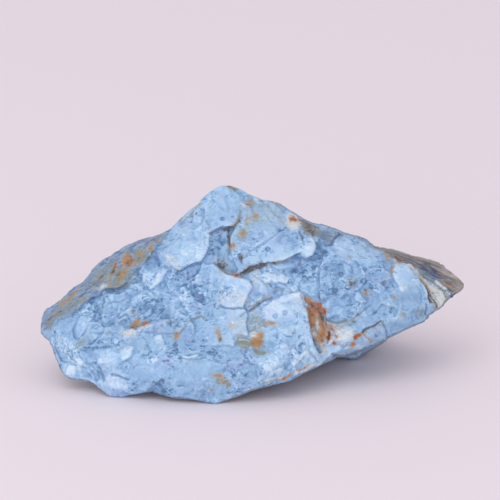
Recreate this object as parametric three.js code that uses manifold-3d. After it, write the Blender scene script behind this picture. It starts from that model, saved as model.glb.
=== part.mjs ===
// A rough blue opal: one solid lump of broken stone, in millimetres, +Z up, resting on its own underside.
// Its broken front leans back. Corners on the front are given as [across, up, out], measured square to
// that leaning face from the stone's lowest front point; corners behind it as [x, y, z], y going back.
import * as THREE from "three";
import { ConvexHull } from "three/addons/math/ConvexHull.js";
import { mergeVertices } from "three/addons/utils/BufferGeometryUtils.js";
import Module from "manifold-3d";

const wasm = await Module();
wasm.setup();

const FACE_LEAN = THREE.MathUtils.degToRad(20); // the face frame leans back this far from upright
const HEART = new THREE.Vector3(0, 18, 12); // a point inside that every corner can be seen from
const HALF_SIZES = new THREE.Vector3(35, 18, 15); // about half the stone, for spacing its facets evenly
const FLOOR_CUT_DEPTH = 5;
const FLOOR_CUT_WIDTH = 200;
const RECESS_PRISM_DEPTH = 30;
const SCAR_DETAIL = 10; // how finely each shell-shaped scar is faceted
const SCAR_STRETCH = 1.35; // scars are this much wider than they are high
const RAY_START = 100; // scars are placed by looking at the stone from this far away

const STONE = { color: 0x8fb2d8, roughness: 0.55, metalness: 0 };

// --- corners of the front, [across, up, out] in the face frame ------------------------------------

const outline = [
  [-35, 12.8, -9], [-34.3, 15.2, -10], [-32.7, 16.8, -11], [-30.7, 18.3, -12], [-28.3, 20.2, -12.5],
  [-26.5, 22.3, -13], [-24.5, 24.3, -13.5], [-21.7, 26.1, -14], [-17.8, 27.6, -14], [-14.5, 28.6, -13.5],
  [-12, 30.1, -13], [-10, 32, -12.5], [-8.2, 33.9, -12.5], [-6.2, 35.6, -12.5], [-4.3, 36.5, -12.5],
  [-2.7, 36.2, -13], [-0.3, 34.9, -13.5], [3.3, 34, -14], [5.8, 32.8, -14], [8, 31.3, -14],
  [11.3, 29.9, -14], [15.2, 28.8, -13.5], [18, 27.8, -12.5], [21.2, 26.2, -13], [25, 25.7, -17],
  [28.4, 24.3, -17], [31.7, 23, -16.5], [34.3, 21.6, -16], [36, 19.9, -15], [35.2, 18.8, -14],
  [33.5, 17.6, -13], [31.7, 15.9, -11], [29.2, 13.7, -9.5], [26.3, 12, -8.5], [23.3, 10.8, -7.5],
  [21.3, 9.6, -8], [19.3, 8, -15], [17, 7.3, -18.8], [14.7, 7.8, -16], [12.5, 6.9, -4.5],
  [9.7, 5.5, -2.5], [6.3, 4.1, -1], [1.3, 2.4, 0], [-3, 1.3, 0.5], [-4.8, -0.2, -0.2],
  [-7.8, -0.2, -0.2], [-11.3, 0.9, 0], [-14, 1.3, -0.5], [-16.5, 2.1, -1], [-18.8, 1.7, -1.8],
  [-21.7, 0.9, -3], [-24, 1.7, -3.2], [-26, 3.3, -3.8], [-28.7, 3.8, -4.5], [-30.7, 4.4, -5],
  [-32.1, 6.3, -6], [-32.7, 9, -7], [-33.3, 10.5, -7.5], [-34.7, 11.5, -8.5],
];

const rindEdge = [
  [-33, 13, -6.5], [-31, 14.7, -7.5], [-28.3, 16.8, -8], [-25.3, 18.8, -8.5],
  [-23, 19.5, -8.7], [-20.3, 20.7, -9.3], [-17.8, 22.7, -10], [-16.2, 26, -11],
];

const leftRidge = [
  [-31.3, 10.7, -5], [-29.2, 12, -5], [-25.8, 11.5, -4], [-21.7, 11.2, -2.5],
  [-17.5, 11.8, -2.2], [-13, 12, -2.5], [-8.3, 9.8, -0.8],
];

const leftHollow = [
  [-25, 15.7, -7], [-20.3, 16.8, -7.8], [-16.7, 20.7, -9], [-14.2, 17.3, -7.5],
  [-11.7, 20.7, -8.5], [-16.7, 14.8, -5.5], [-10, 16.5, -6.5], [-10, 13.2, -3.8],
];

const lowerLeft = [
  [-27.5, 8.2, -3], [-25, 9, -2.2], [-23.3, 5.7, -1.5], [-18.3, 7.3, 0], [-13.3, 8.2, 0.5],
  [-8.3, 6.5, 1.5], [-13.3, 4, 1.2], [-18.3, 4, -0.3], [-5, 4, 2], [-2.5, 7.3, 1.5], [-29.2, 6.5, -4.2],
];

const middlePlate = [
  [-5.8, 22.8, -6.8], [-1.7, 21.2, -4.8], [0, 19, -3.8], [-5.8, 18.2, -5.8],
  [-0.5, 15.7, -3], [-5, 14, -3.2], [-0.8, 11.5, -1.8], [-5.8, 10.2, -1],
];

const peakPlate = [
  [-7.5, 30.3, -10.5], [-2.5, 33.2, -11.5], [-4.7, 30.8, -10], [-11.7, 27.3, -9.5],
  [-7.5, 25.7, -7.5], [-10, 23.3, -6.8], [-13, 23.3, -7.8], [-15, 25.7, -9.3],
];

const peakFoot = [[-4.8, 27, -8.7], [-4, 23.5, -6.6]];

const upperRight = [[-0.8, 31.5, -11], [3.3, 31.5, -11], [0, 27.3, -8.5], [6.7, 29.8, -11]];

const lens = [[4.2, 26.5, -8.5], [1.7, 23.2, -7], [6.7, 24, -7], [9.2, 26, -8]];

const valleyRim = [[3.3, 21.5, -6], [8.3, 21.5, -6.2], [10.3, 23.7, -7.6], [6.7, 19, -4.2], [2.5, 19, -4.6]];

const lowerRight = [
  [4.2, 16.8, -3.8], [8.3, 18.2, -3.2], [2, 14, -3.5], [0.8, 9.8, -1.5], [5.8, 12.3, -1.8],
  [9.2, 13.2, -2.3], [10.8, 9, -2.5], [5.8, 7.3, 0], [1.7, 5.7, 1.2],
];

const rustVein = [[10.7, 16.5, -5.2], [11.7, 13.2, -5], [12.5, 9.8, -5]];

const rightFace = [
  [12.5, 27.3, -9.8], [12, 23.2, -7.2], [12, 19, -5.4], [15.8, 24.8, -8], [16.7, 19.8, -5.5],
  [15, 15.3, -4.2], [20.8, 23.2, -7.8], [20.8, 18.2, -5.8], [20, 14, -5], [25, 19, -7.4],
  [24.2, 14, -6.3], [16.7, 10.7, -4.2], [20.8, 11.5, -5.4], [27.5, 15.7, -8], [14.3, 12.5, -4.2],
  [17.5, 13, -4.4], [18, 16, -4.9], [18.5, 22, -6.8], [23, 16.3, -6], [14.3, 22, -6.4], [14, 18, -4.8],
  [18.7, 9.6, -5], [14.8, 8.8, -4.6],
];

const rightLobe = [
  [24.2, 22.7, -9], [27.5, 22.3, -10], [29.2, 19.8, -10], [30.8, 17.3, -10.3], [23.3, 25.2, -11],
];

const wing = [[26.7, 23.7, -13.5], [29.2, 21.5, -13.5], [31.7, 19, -13.2]];

// --- corners of the back and underside, [x, y, z] -------------------------------------------------

const upperBack = [
  [-5, 32, 22], [-14, 30, 18], [5, 33, 20], [14, 32, 17], [-23, 26, 12.5], [24, 31, 13], [31, 26, 10.5],
];

const middleBack = [[-28, 22, 7], [-19, 31, 9], [-8, 36, 12], [4, 38, 11], [15, 37, 10], [25, 33, 7]];

const backFoot = [[-26, 22, 2.5], [-16, 31, 1.5], [-5, 36, 3], [6, 37.5, 2.5], [16, 34, 1], [24, 28, 4]];

const underside = [
  [-22, 14, 1.2], [-15, 24, -0.5], [-12, 29, -0.5], [-9, 24, -0.5], [-12, 10, 1.5], [-4, 18, 2],
  [4, 10, 1.8], [6, 28, 1.5], [16, 22.5, -0.5], [21, 21, -0.5], [18.5, 26, -0.5], [15, 12, 4],
  [24, 20, 5], [29, 20, 8],
  [8, 20, 1.8], [-6.3, 3, -0.4], [-21, 6, -0.3], [12.5, 25, 0.6], [24.5, 25.5, 3], [15, 30, 0.3],
];

// --- recesses in the front, between the plates that still stand proud ------------------------------

// Each is an outline [across, up] and a sloping floor: its height `out` above the point `at`, and how
// much that rises for each millimetre across and each millimetre up.
const recesses = [
  {
    // under the overhanging edge of the plate at the peak
    outline: [
      [-2, 30.3], [-2.7, 29.7], [-4.7, 29.6], [-6.3, 28.7], [-6.8, 27.2], [-6.8, 25.7], [-7.3, 24.7],
      [-8.2, 23.8], [-7.2, 23.2], [-6.2, 23.4], [-4.7, 22.2], [-3.2, 21.4], [-2, 22.2], [-3, 24.5],
      [-3.5, 26], [-3.3, 28],
    ],
    at: [-5, 27],
    out: -9.5,
    slope: [-0.05, -0.5],
  },
  {
    // the rough valley below the lens-shaped facet
    outline: [
      [8.3, 25.2], [6.7, 24.2], [4.7, 23.6], [2, 23.2], [-0.7, 22.2], [-1.8, 21.5], [-0.2, 20.5],
      [0.2, 19.5], [-0.5, 18.3], [1, 17], [3, 16.5], [5, 17.7], [8.3, 18.5], [9.5, 18.3], [11.4, 17.8],
      [11.5, 20.7], [11.5, 22.3], [12.2, 24], [11, 25.3], [9.7, 24.3],
    ],
    at: [5, 21],
    out: -6.5,
    slope: [-0.1, -0.55],
  },
  {
    // the strip between the middle plate and the one to its lower right
    outline: [
      [-0.5, 18.3], [-1.1, 16.4], [-0.4, 15], [-0.7, 12.7], [-0.3, 11.8], [0.8, 12.5], [1.2, 14],
      [2.2, 16], [3, 16.5], [1, 17],
    ],
    at: [0.5, 15],
    out: -4.1,
    slope: [0, -0.2],
  },
  {
    // the groove that the rust vein fills
    outline: [
      [8.9, 18.2], [9.6, 16.5], [9.9, 14], [10.2, 12], [10.7, 10.5], [11.8, 8.2], [13.3, 10.2],
      [13.4, 11.8], [12.8, 13.7], [12.5, 15.7], [11.5, 17.8], [10, 18.4],
    ],
    at: [11.3, 14],
    out: -5.5,
    slope: [-0.1, -0.05],
  },
  {
    // behind the front face's right-hand edge, where the weathered wing shows
    outline: [
      [21.3, 26], [22.5, 25.2], [23.7, 24.7], [25, 23.8], [26.3, 23.4], [27.5, 22.7], [28.1, 21.9],
      [28.6, 20.7], [29.4, 19.5], [30, 18.3], [32, 16], [40, 18], [36, 26], [22, 32],
    ],
    at: [29.5, 21.5],
    out: -14.3,
    slope: [-0.1, -0.6],
  },
  {
    // the trough along the foot of the weathered rind
    outline: [
      [-16.2, 25.6], [-16.7, 25.2], [-17.8, 23.5], [-18.3, 22], [-19.2, 21], [-20.3, 20.3], [-22.5, 19.3],
      [-24.5, 19.2], [-25.3, 18], [-26.7, 17.7], [-28, 16.7], [-29.2, 15.3], [-27, 15], [-24.5, 16.3],
      [-21, 17.4], [-17.8, 18.8], [-15.6, 21], [-14.8, 23.5],
    ],
    at: [-20.3, 20.3],
    out: -9.75,
    slope: [0.05, -0.5],
  },
  {
    // under the left-hand end of the plate at the peak
    outline: [
      [-8, 23.8], [-9.7, 23.5], [-10.7, 23], [-11.3, 22.5], [-12, 22.3], [-13.3, 22.8], [-14.2, 24.2],
      [-14.8, 22.5], [-13.8, 20.6], [-11, 20.3], [-8.6, 21.6],
    ],
    at: [-11, 22.5],
    out: -8.4,
    slope: [0, 0.2],
  },
  {
    // the hollow on the plate at the peak
    outline: [
      [-10, 32.2], [-8.5, 33], [-7.4, 32.3], [-7.3, 30.8], [-8, 29.6], [-9.5, 29.5], [-10.4, 30.7],
    ],
    at: [-8.5, 31],
    out: -11.4,
    slope: [0.05, -0.55],
  },
  {
    // the small V-shaped chip at the left
    outline: [
      [-29, 14], [-29.8, 12.2], [-29.5, 11], [-29, 10.8], [-27.7, 11.5], [-26.3, 14], [-25.3, 15.7],
      [-26.5, 15.9], [-28, 15.2],
    ],
    at: [-28, 13],
    out: -6.1,
    slope: [0.15, -0.45],
  },
];

// --- shell-shaped scars, where flakes have come away -------------------------------------------------

// On the sides, back and underside: [x, y, z of the way it faces, half width, depth].
const hiddenScars = [
  [-1, 1, 0.4, 4.5, 0.55], [-0.6, 1, 0.5, 6, 0.8], [0.05, 1, 0.55, 6.5, 0.9], [0.75, 1, 0.35, 6, 0.8],
  [1.3, 1, 0.05, 4.5, 0.6], [-0.85, 1, -0.1, 5, 0.7], [-0.28, 1, -0.02, 5.5, 0.8],
  [0.35, 1, -0.08, 5, 0.7], [-0.1, -0.25, -1, 3.5, 0.35], [0.45, 1, 0.85, 4, 0.4], [-0.25, 1, 1, 4, 0.4],
];

// --- building ---------------------------------------------------------------------------------------

/** The place in the part's frame of a point given across, up and out of the leaning face. */
function onFace([across, up, out]) {
  const cos = Math.cos(FACE_LEAN);
  const sin = Math.sin(FACE_LEAN);
  return new THREE.Vector3(across, up * sin - out * cos, up * cos + out * sin);
}

/** A closed geometry whose corners are these points, each joined to those that lie round it. */
function lumpThrough(corners) {
  const cornerOf = new Map();
  const directions = corners.map((corner) => {
    const direction = corner.clone().sub(HEART).divide(HALF_SIZES).normalize();
    cornerOf.set(direction, corner);
    return direction;
  });
  const hull = new ConvexHull().setFromPoints(directions);
  const positions = [];
  for (const face of hull.faces) {
    let edge = face.edge;
    do {
      positions.push(...cornerOf.get(edge.head().point).toArray());
      edge = edge.next;
    } while (edge !== face.edge);
  }
  return new THREE.BufferGeometry().setAttribute("position", new THREE.Float32BufferAttribute(positions, 3));
}

/** A manifold solid of a closed geometry. */
function solidOf(geometry) {
  const bare = geometry.clone();
  bare.deleteAttribute("normal");
  bare.deleteAttribute("uv");
  const merged = mergeVertices(bare, 1e-4);
  return new wasm.Manifold(
    new wasm.Mesh({
      numProp: 3,
      vertProperties: merged.attributes.position.array,
      triVerts: new Uint32Array(merged.index.array),
    }),
  );
}

/** The ball whose surface makes a scar of this half width and depth where a ray first meets the stone. */
function scarBall(lump, rayStart, rayDirection, halfWidth, depth) {
  const [hit] = new THREE.Raycaster(rayStart, rayDirection).intersectObject(lump);
  const radius = (halfWidth ** 2 + depth ** 2) / (2 * depth);
  const centre = hit.point.clone().addScaledVector(rayDirection, depth - radius);
  return new THREE.IcosahedronGeometry(radius, SCAR_DETAIL)
    .scale(SCAR_STRETCH, 1, 1)
    .translate(...centre.toArray());
}

/** A prism that stands on a recess's floor and reaches out past the face. */
function recessPrism({ outline: corners, at, out, slope }) {
  const shape = new THREE.Shape(corners.map(([across, up]) => new THREE.Vector2(across, up)));
  const prism = new THREE.ExtrudeGeometry(shape, { depth: RECESS_PRISM_DEPTH, bevelEnabled: false });
  const position = prism.attributes.position;
  for (let i = 0; i < position.count; i += 1) {
    const across = position.getX(i);
    const up = position.getY(i);
    const floor = out + slope[0] * (across - at[0]) + slope[1] * (up - at[1]);
    const point = onFace([across, up, floor + position.getZ(i)]);
    position.setXYZ(i, ...point.toArray());
  }
  return prism;
}

/** A geometry of a manifold solid. */
function geometryOf(solid) {
  const mesh = solid.getMesh();
  return new THREE.BufferGeometry()
    .setAttribute("position", new THREE.BufferAttribute(new Float32Array(mesh.vertProperties), 3))
    .setIndex(new THREE.BufferAttribute(new Uint32Array(mesh.triVerts), 1));
}

const frontCorners = [
  outline, rindEdge, leftRidge, leftHollow, lowerLeft, middlePlate, peakPlate, peakFoot, upperRight,
  lens, valleyRim, lowerRight, rustVein, rightFace, rightLobe, wing,
].flat().map(onFace);
const hiddenCorners = [upperBack, middleBack, backFoot, underside].flat()
  .map((corner) => new THREE.Vector3(...corner));

const lumpGeometry = lumpThrough([...frontCorners, ...hiddenCorners]);
const lump = new THREE.Mesh(lumpGeometry, new THREE.MeshStandardMaterial(STONE));
let stone = solidOf(lumpGeometry);

for (const recess of recesses) {
  stone = stone.subtract(solidOf(recessPrism(recess)));
}
for (const [x, y, z, halfWidth, depth] of hiddenScars) {
  const outward = new THREE.Vector3(x, y, z).normalize();
  const start = HEART.clone().addScaledVector(outward, RAY_START);
  stone = stone.subtract(solidOf(scarBall(lump, start, outward.negate(), halfWidth, depth)));
}
const floor = new THREE.BoxGeometry(FLOOR_CUT_WIDTH, FLOOR_CUT_WIDTH, FLOOR_CUT_DEPTH)
  .translate(0, 0, -FLOOR_CUT_DEPTH / 2);
stone = stone.subtract(solidOf(floor));

const geometry = geometryOf(stone);
geometry.computeVertexNormals();
geometry.computeBoundingBox();
const middle = geometry.boundingBox.getCenter(new THREE.Vector3());
geometry.translate(-middle.x, -middle.y, 0);

const roughOpal = new THREE.Mesh(geometry, new THREE.MeshStandardMaterial(STONE));
roughOpal.name = "rough_opal";
const group = new THREE.Group();
group.add(roughOpal);

export default group;
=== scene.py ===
import math

import bmesh
import bpy
import numpy as np
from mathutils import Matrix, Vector


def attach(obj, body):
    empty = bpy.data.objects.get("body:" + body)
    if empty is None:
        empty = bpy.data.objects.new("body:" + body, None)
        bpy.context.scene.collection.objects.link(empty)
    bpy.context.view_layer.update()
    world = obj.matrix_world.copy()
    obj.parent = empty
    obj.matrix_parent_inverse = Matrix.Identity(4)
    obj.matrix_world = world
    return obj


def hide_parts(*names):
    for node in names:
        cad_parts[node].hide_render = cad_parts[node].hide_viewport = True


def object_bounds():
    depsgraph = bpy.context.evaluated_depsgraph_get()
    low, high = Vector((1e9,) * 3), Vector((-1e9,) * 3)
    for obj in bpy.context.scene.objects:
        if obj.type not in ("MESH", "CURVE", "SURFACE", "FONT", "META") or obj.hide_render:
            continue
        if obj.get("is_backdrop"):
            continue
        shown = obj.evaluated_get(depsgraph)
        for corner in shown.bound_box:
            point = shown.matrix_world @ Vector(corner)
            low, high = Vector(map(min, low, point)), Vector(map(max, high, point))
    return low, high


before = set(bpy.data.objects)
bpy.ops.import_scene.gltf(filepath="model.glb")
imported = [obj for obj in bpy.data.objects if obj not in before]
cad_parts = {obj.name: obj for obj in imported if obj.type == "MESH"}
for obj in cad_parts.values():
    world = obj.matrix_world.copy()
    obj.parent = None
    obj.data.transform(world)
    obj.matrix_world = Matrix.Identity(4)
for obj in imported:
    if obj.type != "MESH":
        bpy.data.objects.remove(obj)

cad_low, cad_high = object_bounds()

# ---- The leaning face and the picture plane ----
# Shapes on the broken front are drawn in picture pixels (500 x 500, x to the right, y down) and laid
# on the stone by projecting its vertices.

MM = 0.001  # m
SEED = 11
PICTURE = 500  # px
PX_PER_MM = 6.0
FACE_LEAN = math.radians(20)
FACE_ORIGIN = np.array([-0.5, -18.566, 0.0])  # mm, the front's lowest point in the part's frame
ACROSS = np.array([1.0, 0.0, 0.0])
UP = np.array([0.0, math.sin(FACE_LEAN), math.cos(FACE_LEAN)])
OUT = np.array([0.0, -math.cos(FACE_LEAN), math.sin(FACE_LEAN)])
CAMERA_DISTANCE = 1000.0  # mm
AIM_RISE = 25.667  # mm up the face from its lowest point to the point that the camera looks at
AIM_DEPTH = 6.0  # mm from the face back to that point
AIM = FACE_ORIGIN + AIM_RISE * UP - AIM_DEPTH * OUT
CAMERA_AT = AIM + CAMERA_DISTANCE * OUT

rng = np.random.default_rng(SEED)


def in_picture(points):
    """Picture pixels of points given in mm."""
    d = points - CAMERA_AT
    depth = -(d @ OUT)
    scale = PX_PER_MM * CAMERA_DISTANCE / depth
    return np.stack([PICTURE / 2 + scale * (d @ ACROSS), PICTURE / 2 - scale * (d @ UP)], 1)


def from_picture(pixel_move, points):
    """The move in mm, square to the view, that shifts points by this many pixels in the picture."""
    depth = -((points - CAMERA_AT) @ OUT)
    mm_per_px = depth / (PX_PER_MM * CAMERA_DISTANCE)
    return mm_per_px[:, None] * (pixel_move[:, :1] * ACROSS - pixel_move[:, 1:] * UP)


# ---- Noise and drawing tools ----
# An offset given to a noise only picks another part of it, so that two noises don't look alike.

CELLS = 256  # after which the noise repeats
PERM = rng.permutation(CELLS)
GRADIENTS = rng.normal(size=(CELLS, 3))
GRADIENTS /= np.linalg.norm(GRADIENTS, axis=1, keepdims=True)
NOISE_GAIN = 1.6
OCTAVE_SHIFT = 17.3
FLAKE_WARP_SIZE, FLAKE_WARP, FLAKE_SCATTER = 2.2, 0.7, 0.45  # in flakes
FAR = 1000.0  # px, the distance given to anything well away from a path


def smooth(low, high, value):
    """0 at low, 1 at high, with a smooth rise between them."""
    t = np.clip((value - low) / (high - low), 0.0, 1.0)
    return t * t * (3 - 2 * t)


def bell(distance, width):
    """1 at no distance, a third at this width and next to nothing at twice that."""
    return np.exp(-((distance / width) ** 2))


def picked(i, j, k):
    """The entry of the noise tables that belongs to a cell."""
    return PERM[(PERM[(PERM[i % CELLS] + j) % CELLS] + k) % CELLS]


def noise(points, size, offset):
    """Gradient noise, about -1 to 1, with features of this size."""
    p = points / size + offset
    cell = np.floor(p).astype(int)
    f = p - cell
    w = f * f * f * (f * (f * 6 - 15) + 10)
    total = 0.0
    for i in (0, 1):
        for j in (0, 1):
            for k in (0, 1):
                n = picked(cell[:, 0] + i, cell[:, 1] + j, cell[:, 2] + k)
                corner = f - np.array([i, j, k])
                weight = (
                    (w[:, 0] if i else 1 - w[:, 0])
                    * (w[:, 1] if j else 1 - w[:, 1])
                    * (w[:, 2] if k else 1 - w[:, 2])
                )
                total = total + weight * (GRADIENTS[n] * corner).sum(1)
    return total * NOISE_GAIN


def layers(points, size, octaves, offset, roughness=0.5):
    """Noise with finer noise laid over it; each octave is half as large as the last."""
    total, strength, norm = 0.0, 1.0, 0.0
    for o in range(octaves):
        total = total + strength * noise(points, size / 2**o, offset + OCTAVE_SHIFT * o)
        norm += strength
        strength *= roughness
    return total / norm


def near(pixels, path, margin):
    """The pixels in the box round a path, widened by a margin."""
    low, high = path.min(0) - margin, path.max(0) + margin
    return np.where(((pixels > low) & (pixels < high)).all(1))[0]


def along(pixels, path, margin=40):
    """For each pixel: distance to a path, which side it is on (+ is the right-hand side of someone
    walking it) and how far along it is, from 0 to 1."""
    path = np.array(path, float)
    close = near(pixels, path, margin)
    results = [np.full(len(pixels), FAR), np.zeros(len(pixels)), np.zeros(len(pixels))]
    for result, part in zip(results, along_near(pixels[close], path)):
        result[close] = part
    return results


def along_near(pixels, path):
    best = np.full(len(pixels), FAR)
    side = np.zeros(len(pixels))
    where = np.zeros(len(pixels))
    lengths = np.linalg.norm(np.diff(path, axis=0), axis=1)
    starts = np.concatenate([[0], np.cumsum(lengths)])
    for i, (a, b) in enumerate(zip(path[:-1], path[1:])):
        ab = b - a
        t = np.clip(((pixels - a) @ ab) / (ab @ ab), 0, 1)
        off = pixels - a - t[:, None] * ab
        d = np.hypot(off[:, 0], off[:, 1])
        cross = ab[0] * (pixels[:, 1] - a[1]) - ab[1] * (pixels[:, 0] - a[0])
        closer = d < best
        best = np.where(closer, d, best)
        side = np.where(closer, np.sign(cross), side)
        where = np.where(closer, (starts[i] + t * lengths[i]) / starts[-1], where)
    return best, side, where


def within(pixels, outline, margin=30):
    """Signed distance in pixels to a closed outline, positive inside."""
    outline = np.array(outline, float)
    closed = np.concatenate([outline, outline[:1]])
    result = np.full(len(pixels), -FAR)
    close = near(pixels, closed, margin)
    pixels = pixels[close]
    d, _, _ = along_near(pixels, closed)
    inside = np.zeros(len(pixels), bool)
    x, y = pixels[:, 0], pixels[:, 1]
    for (x0, y0), (x1, y1) in zip(closed[:-1], closed[1:]):
        if y0 != y1:
            crosses = (y0 > y) != (y1 > y)
            inside ^= crosses & (x < (x1 - x0) * (y - y0) / (y1 - y0) + x0)
    result[close] = np.where(inside, d, -d)
    return result


def zone(pixels, outline, soft):
    """1 inside an outline and 0 outside it, with a rim this many pixels soft on either side."""
    return smooth(-soft, soft, within(pixels, outline))


def blob(pixels, x, y, rx, ry, angle):
    """1 at the middle of an ellipse, 0 at its rim and negative outside it."""
    a = math.radians(angle)
    dx, dy = pixels[:, 0] - x, pixels[:, 1] - y
    u = (dx * math.cos(a) + dy * math.sin(a)) / rx
    v = (-dx * math.sin(a) + dy * math.cos(a)) / ry
    return 1 - np.hypot(u, v)


def streaked(points, degrees, long, wide, offset):
    """Noise drawn out along one direction, which rises to the right by this angle."""
    a = math.radians(degrees)
    u = points[:, 0] * math.cos(a) + points[:, 2] * math.sin(a)
    v = -points[:, 0] * math.sin(a) + points[:, 2] * math.cos(a)
    return layers(np.stack([u / long, v / wide, points[:, 1] / (2 * wide)], 1), 1.0, 3, offset, 0.6)


def flaked(points, size, offset):
    """Small broken faces this far apart. Returns each one's hollow (0 in its middle, 1 at its rim),
    its slope (-1 to 1 from one side to the other) and a number of its own from -1 to 1."""
    warp = np.stack([noise(points, FLAKE_WARP_SIZE * size, offset + o) for o in (1.3, 27.1, 52.9)], 1)
    p = (points + FLAKE_WARP * size * warp) / size + offset
    cell = np.floor(p).astype(int)
    nearest = np.full(len(points), 9.0)
    slope = np.zeros(len(points))
    own = np.zeros(len(points))
    for i in (-1, 0, 1):
        for j in (-1, 0, 1):
            for k in (-1, 0, 1):
                corner = cell + np.array([i, j, k])
                n = picked(corner[:, 0], corner[:, 1], corner[:, 2])
                off = p - (corner + 0.5 + FLAKE_SCATTER * GRADIENTS[n])
                d = (off * off).sum(1)
                closer = d < nearest
                nearest[closer] = d[closer]
                slope[closer] = (off[closer] * GRADIENTS[PERM[n[closer]]]).sum(1)
                own[closer] = 2 * (PERM[(n[closer] + 7) % CELLS] / (CELLS - 1)) - 1
    return nearest, slope, own


def scallops(points, count, low, high, depth, seed):
    """Shell-shaped scars scattered over the whole surface; their rims are left as low ridges."""
    draw = np.random.default_rng(seed)
    centres = points[draw.integers(0, len(points), count)]
    radii = draw.uniform(low, high, count)
    x, y, z = np.ascontiguousarray(points.T)
    deepest = np.zeros(len(points))
    for centre, radius in zip(centres, radii):
        d2 = ((x - centre[0]) ** 2 + (y - centre[1]) ** 2 + (z - centre[2]) ** 2) / radius**2
        hit = np.where(d2 < 1)[0]
        deepest[hit] = np.minimum(deepest[hit], depth * radius / high * (d2[hit] - 1))
    return deepest


# ---- What is on the broken front, in picture pixels ----

OUTLINE = [
    (39.5, 331), (40, 326), (43, 314), (45, 310), (50, 306), (60, 299.5), (70, 290), (75, 286),
    (84, 281), (92, 269.5), (101, 260.5), (110, 255.5), (125, 245.5), (140, 239.5), (160, 234),
    (170, 229), (190, 209.5), (199, 203.5), (200.5, 199.5), (210, 191.5), (220, 186), (230, 185.5),
    (240, 188.5), (250, 194.5), (262, 199.5), (270, 200.5), (280, 203.5), (290, 210), (305, 219),
    (312, 222.5), (322, 224), (338, 229), (345, 232.5), (360, 236), (368, 240), (375, 246),
    (392, 248.5), (400, 250.5), (412, 255), (428, 258), (436, 260.5), (443, 264.5), (452, 272.5),
    (460, 278.5), (464, 284), (463.5, 290), (453, 297), (449, 299.5), (446, 304), (440, 309.5),
    (433, 313), (425, 322), (410, 328.5), (390, 338), (384, 343), (363, 356), (357, 359.5), (350, 360),
    (340, 358), (330, 361.5), (310, 370.5), (290, 381), (270, 386), (250, 391.5), (240, 396),
    (224, 401.5), (215, 404.5), (195, 400), (175, 398.5), (160, 394.5), (150, 391.5), (135, 395),
    (120, 397.5), (110, 396.5), (97, 386.5), (88, 382), (70, 379.5), (63, 374), (57, 362), (51, 345),
    (45, 338), (41, 334),
]

RIND_FOOT = [
    (172, 229), (162, 238), (154, 245), (150, 252), (146, 258), (141, 266), (136, 269), (130, 273),
    (128, 280), (122, 285), (115, 288), (108, 288), (103, 289), (98, 296), (90, 298), (82, 304),
    (75, 312), (66, 316), (57, 320), (50, 329), (40, 331),
]

RIND = RIND_FOOT + [(30, 331), (35, 300), (80, 268), (100, 248), (165, 222)]

PEAK_EDGE = [
    (240, 206), (239, 215), (238, 222), (234, 226), (230, 227), (222, 226.5), (217, 228), (212, 232),
    (210, 237), (209.5, 243), (209, 250), (206, 256), (201, 261), (192, 263), (186, 266), (182, 269),
    (178, 270), (174, 268), (170, 264), (167, 260),
]

MIDDLE_EDGE = [
    (200, 268), (207, 265), (213, 263.5), (217, 267), (222, 271), (228, 275), (235, 276), (243, 278),
    (249, 281), (251, 287), (250, 291), (247, 294), (248, 300), (244, 304), (243, 307), (247, 311),
    (248, 316), (246, 322), (246, 328), (248, 333), (246, 336), (238, 336), (236, 341), (234, 345),
    (228, 344), (222, 345), (216, 345), (208, 345), (202, 345),
]

LENS_TOP = [(292, 225), (280, 230), (272, 237), (265, 243), (258, 247), (250, 250)]

LENS_FOOT = [
    (301, 252), (290, 259), (278, 262.5), (270, 263), (262, 265), (253, 266), (246, 271), (239, 274),
]

LOWER_RIGHT_EDGE = [
    (258, 312), (268, 305), (280, 298), (290, 295), (300, 293), (303, 296), (307, 305), (309, 315),
    (310, 330), (313, 340), (318, 350), (324, 362),
]

RIGHT_EDGE = [
    (331, 335), (326, 322), (322, 310), (319, 297), (319, 280), (319.5, 270), (322, 262), (326, 250),
]

RIM_OVER_WING = [
    (374, 245), (385, 253), (392, 256), (400, 262), (408, 264), (415, 268), (418, 272), (421, 280),
    (426, 287), (429, 293), (433, 302), (436, 310),
]

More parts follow.
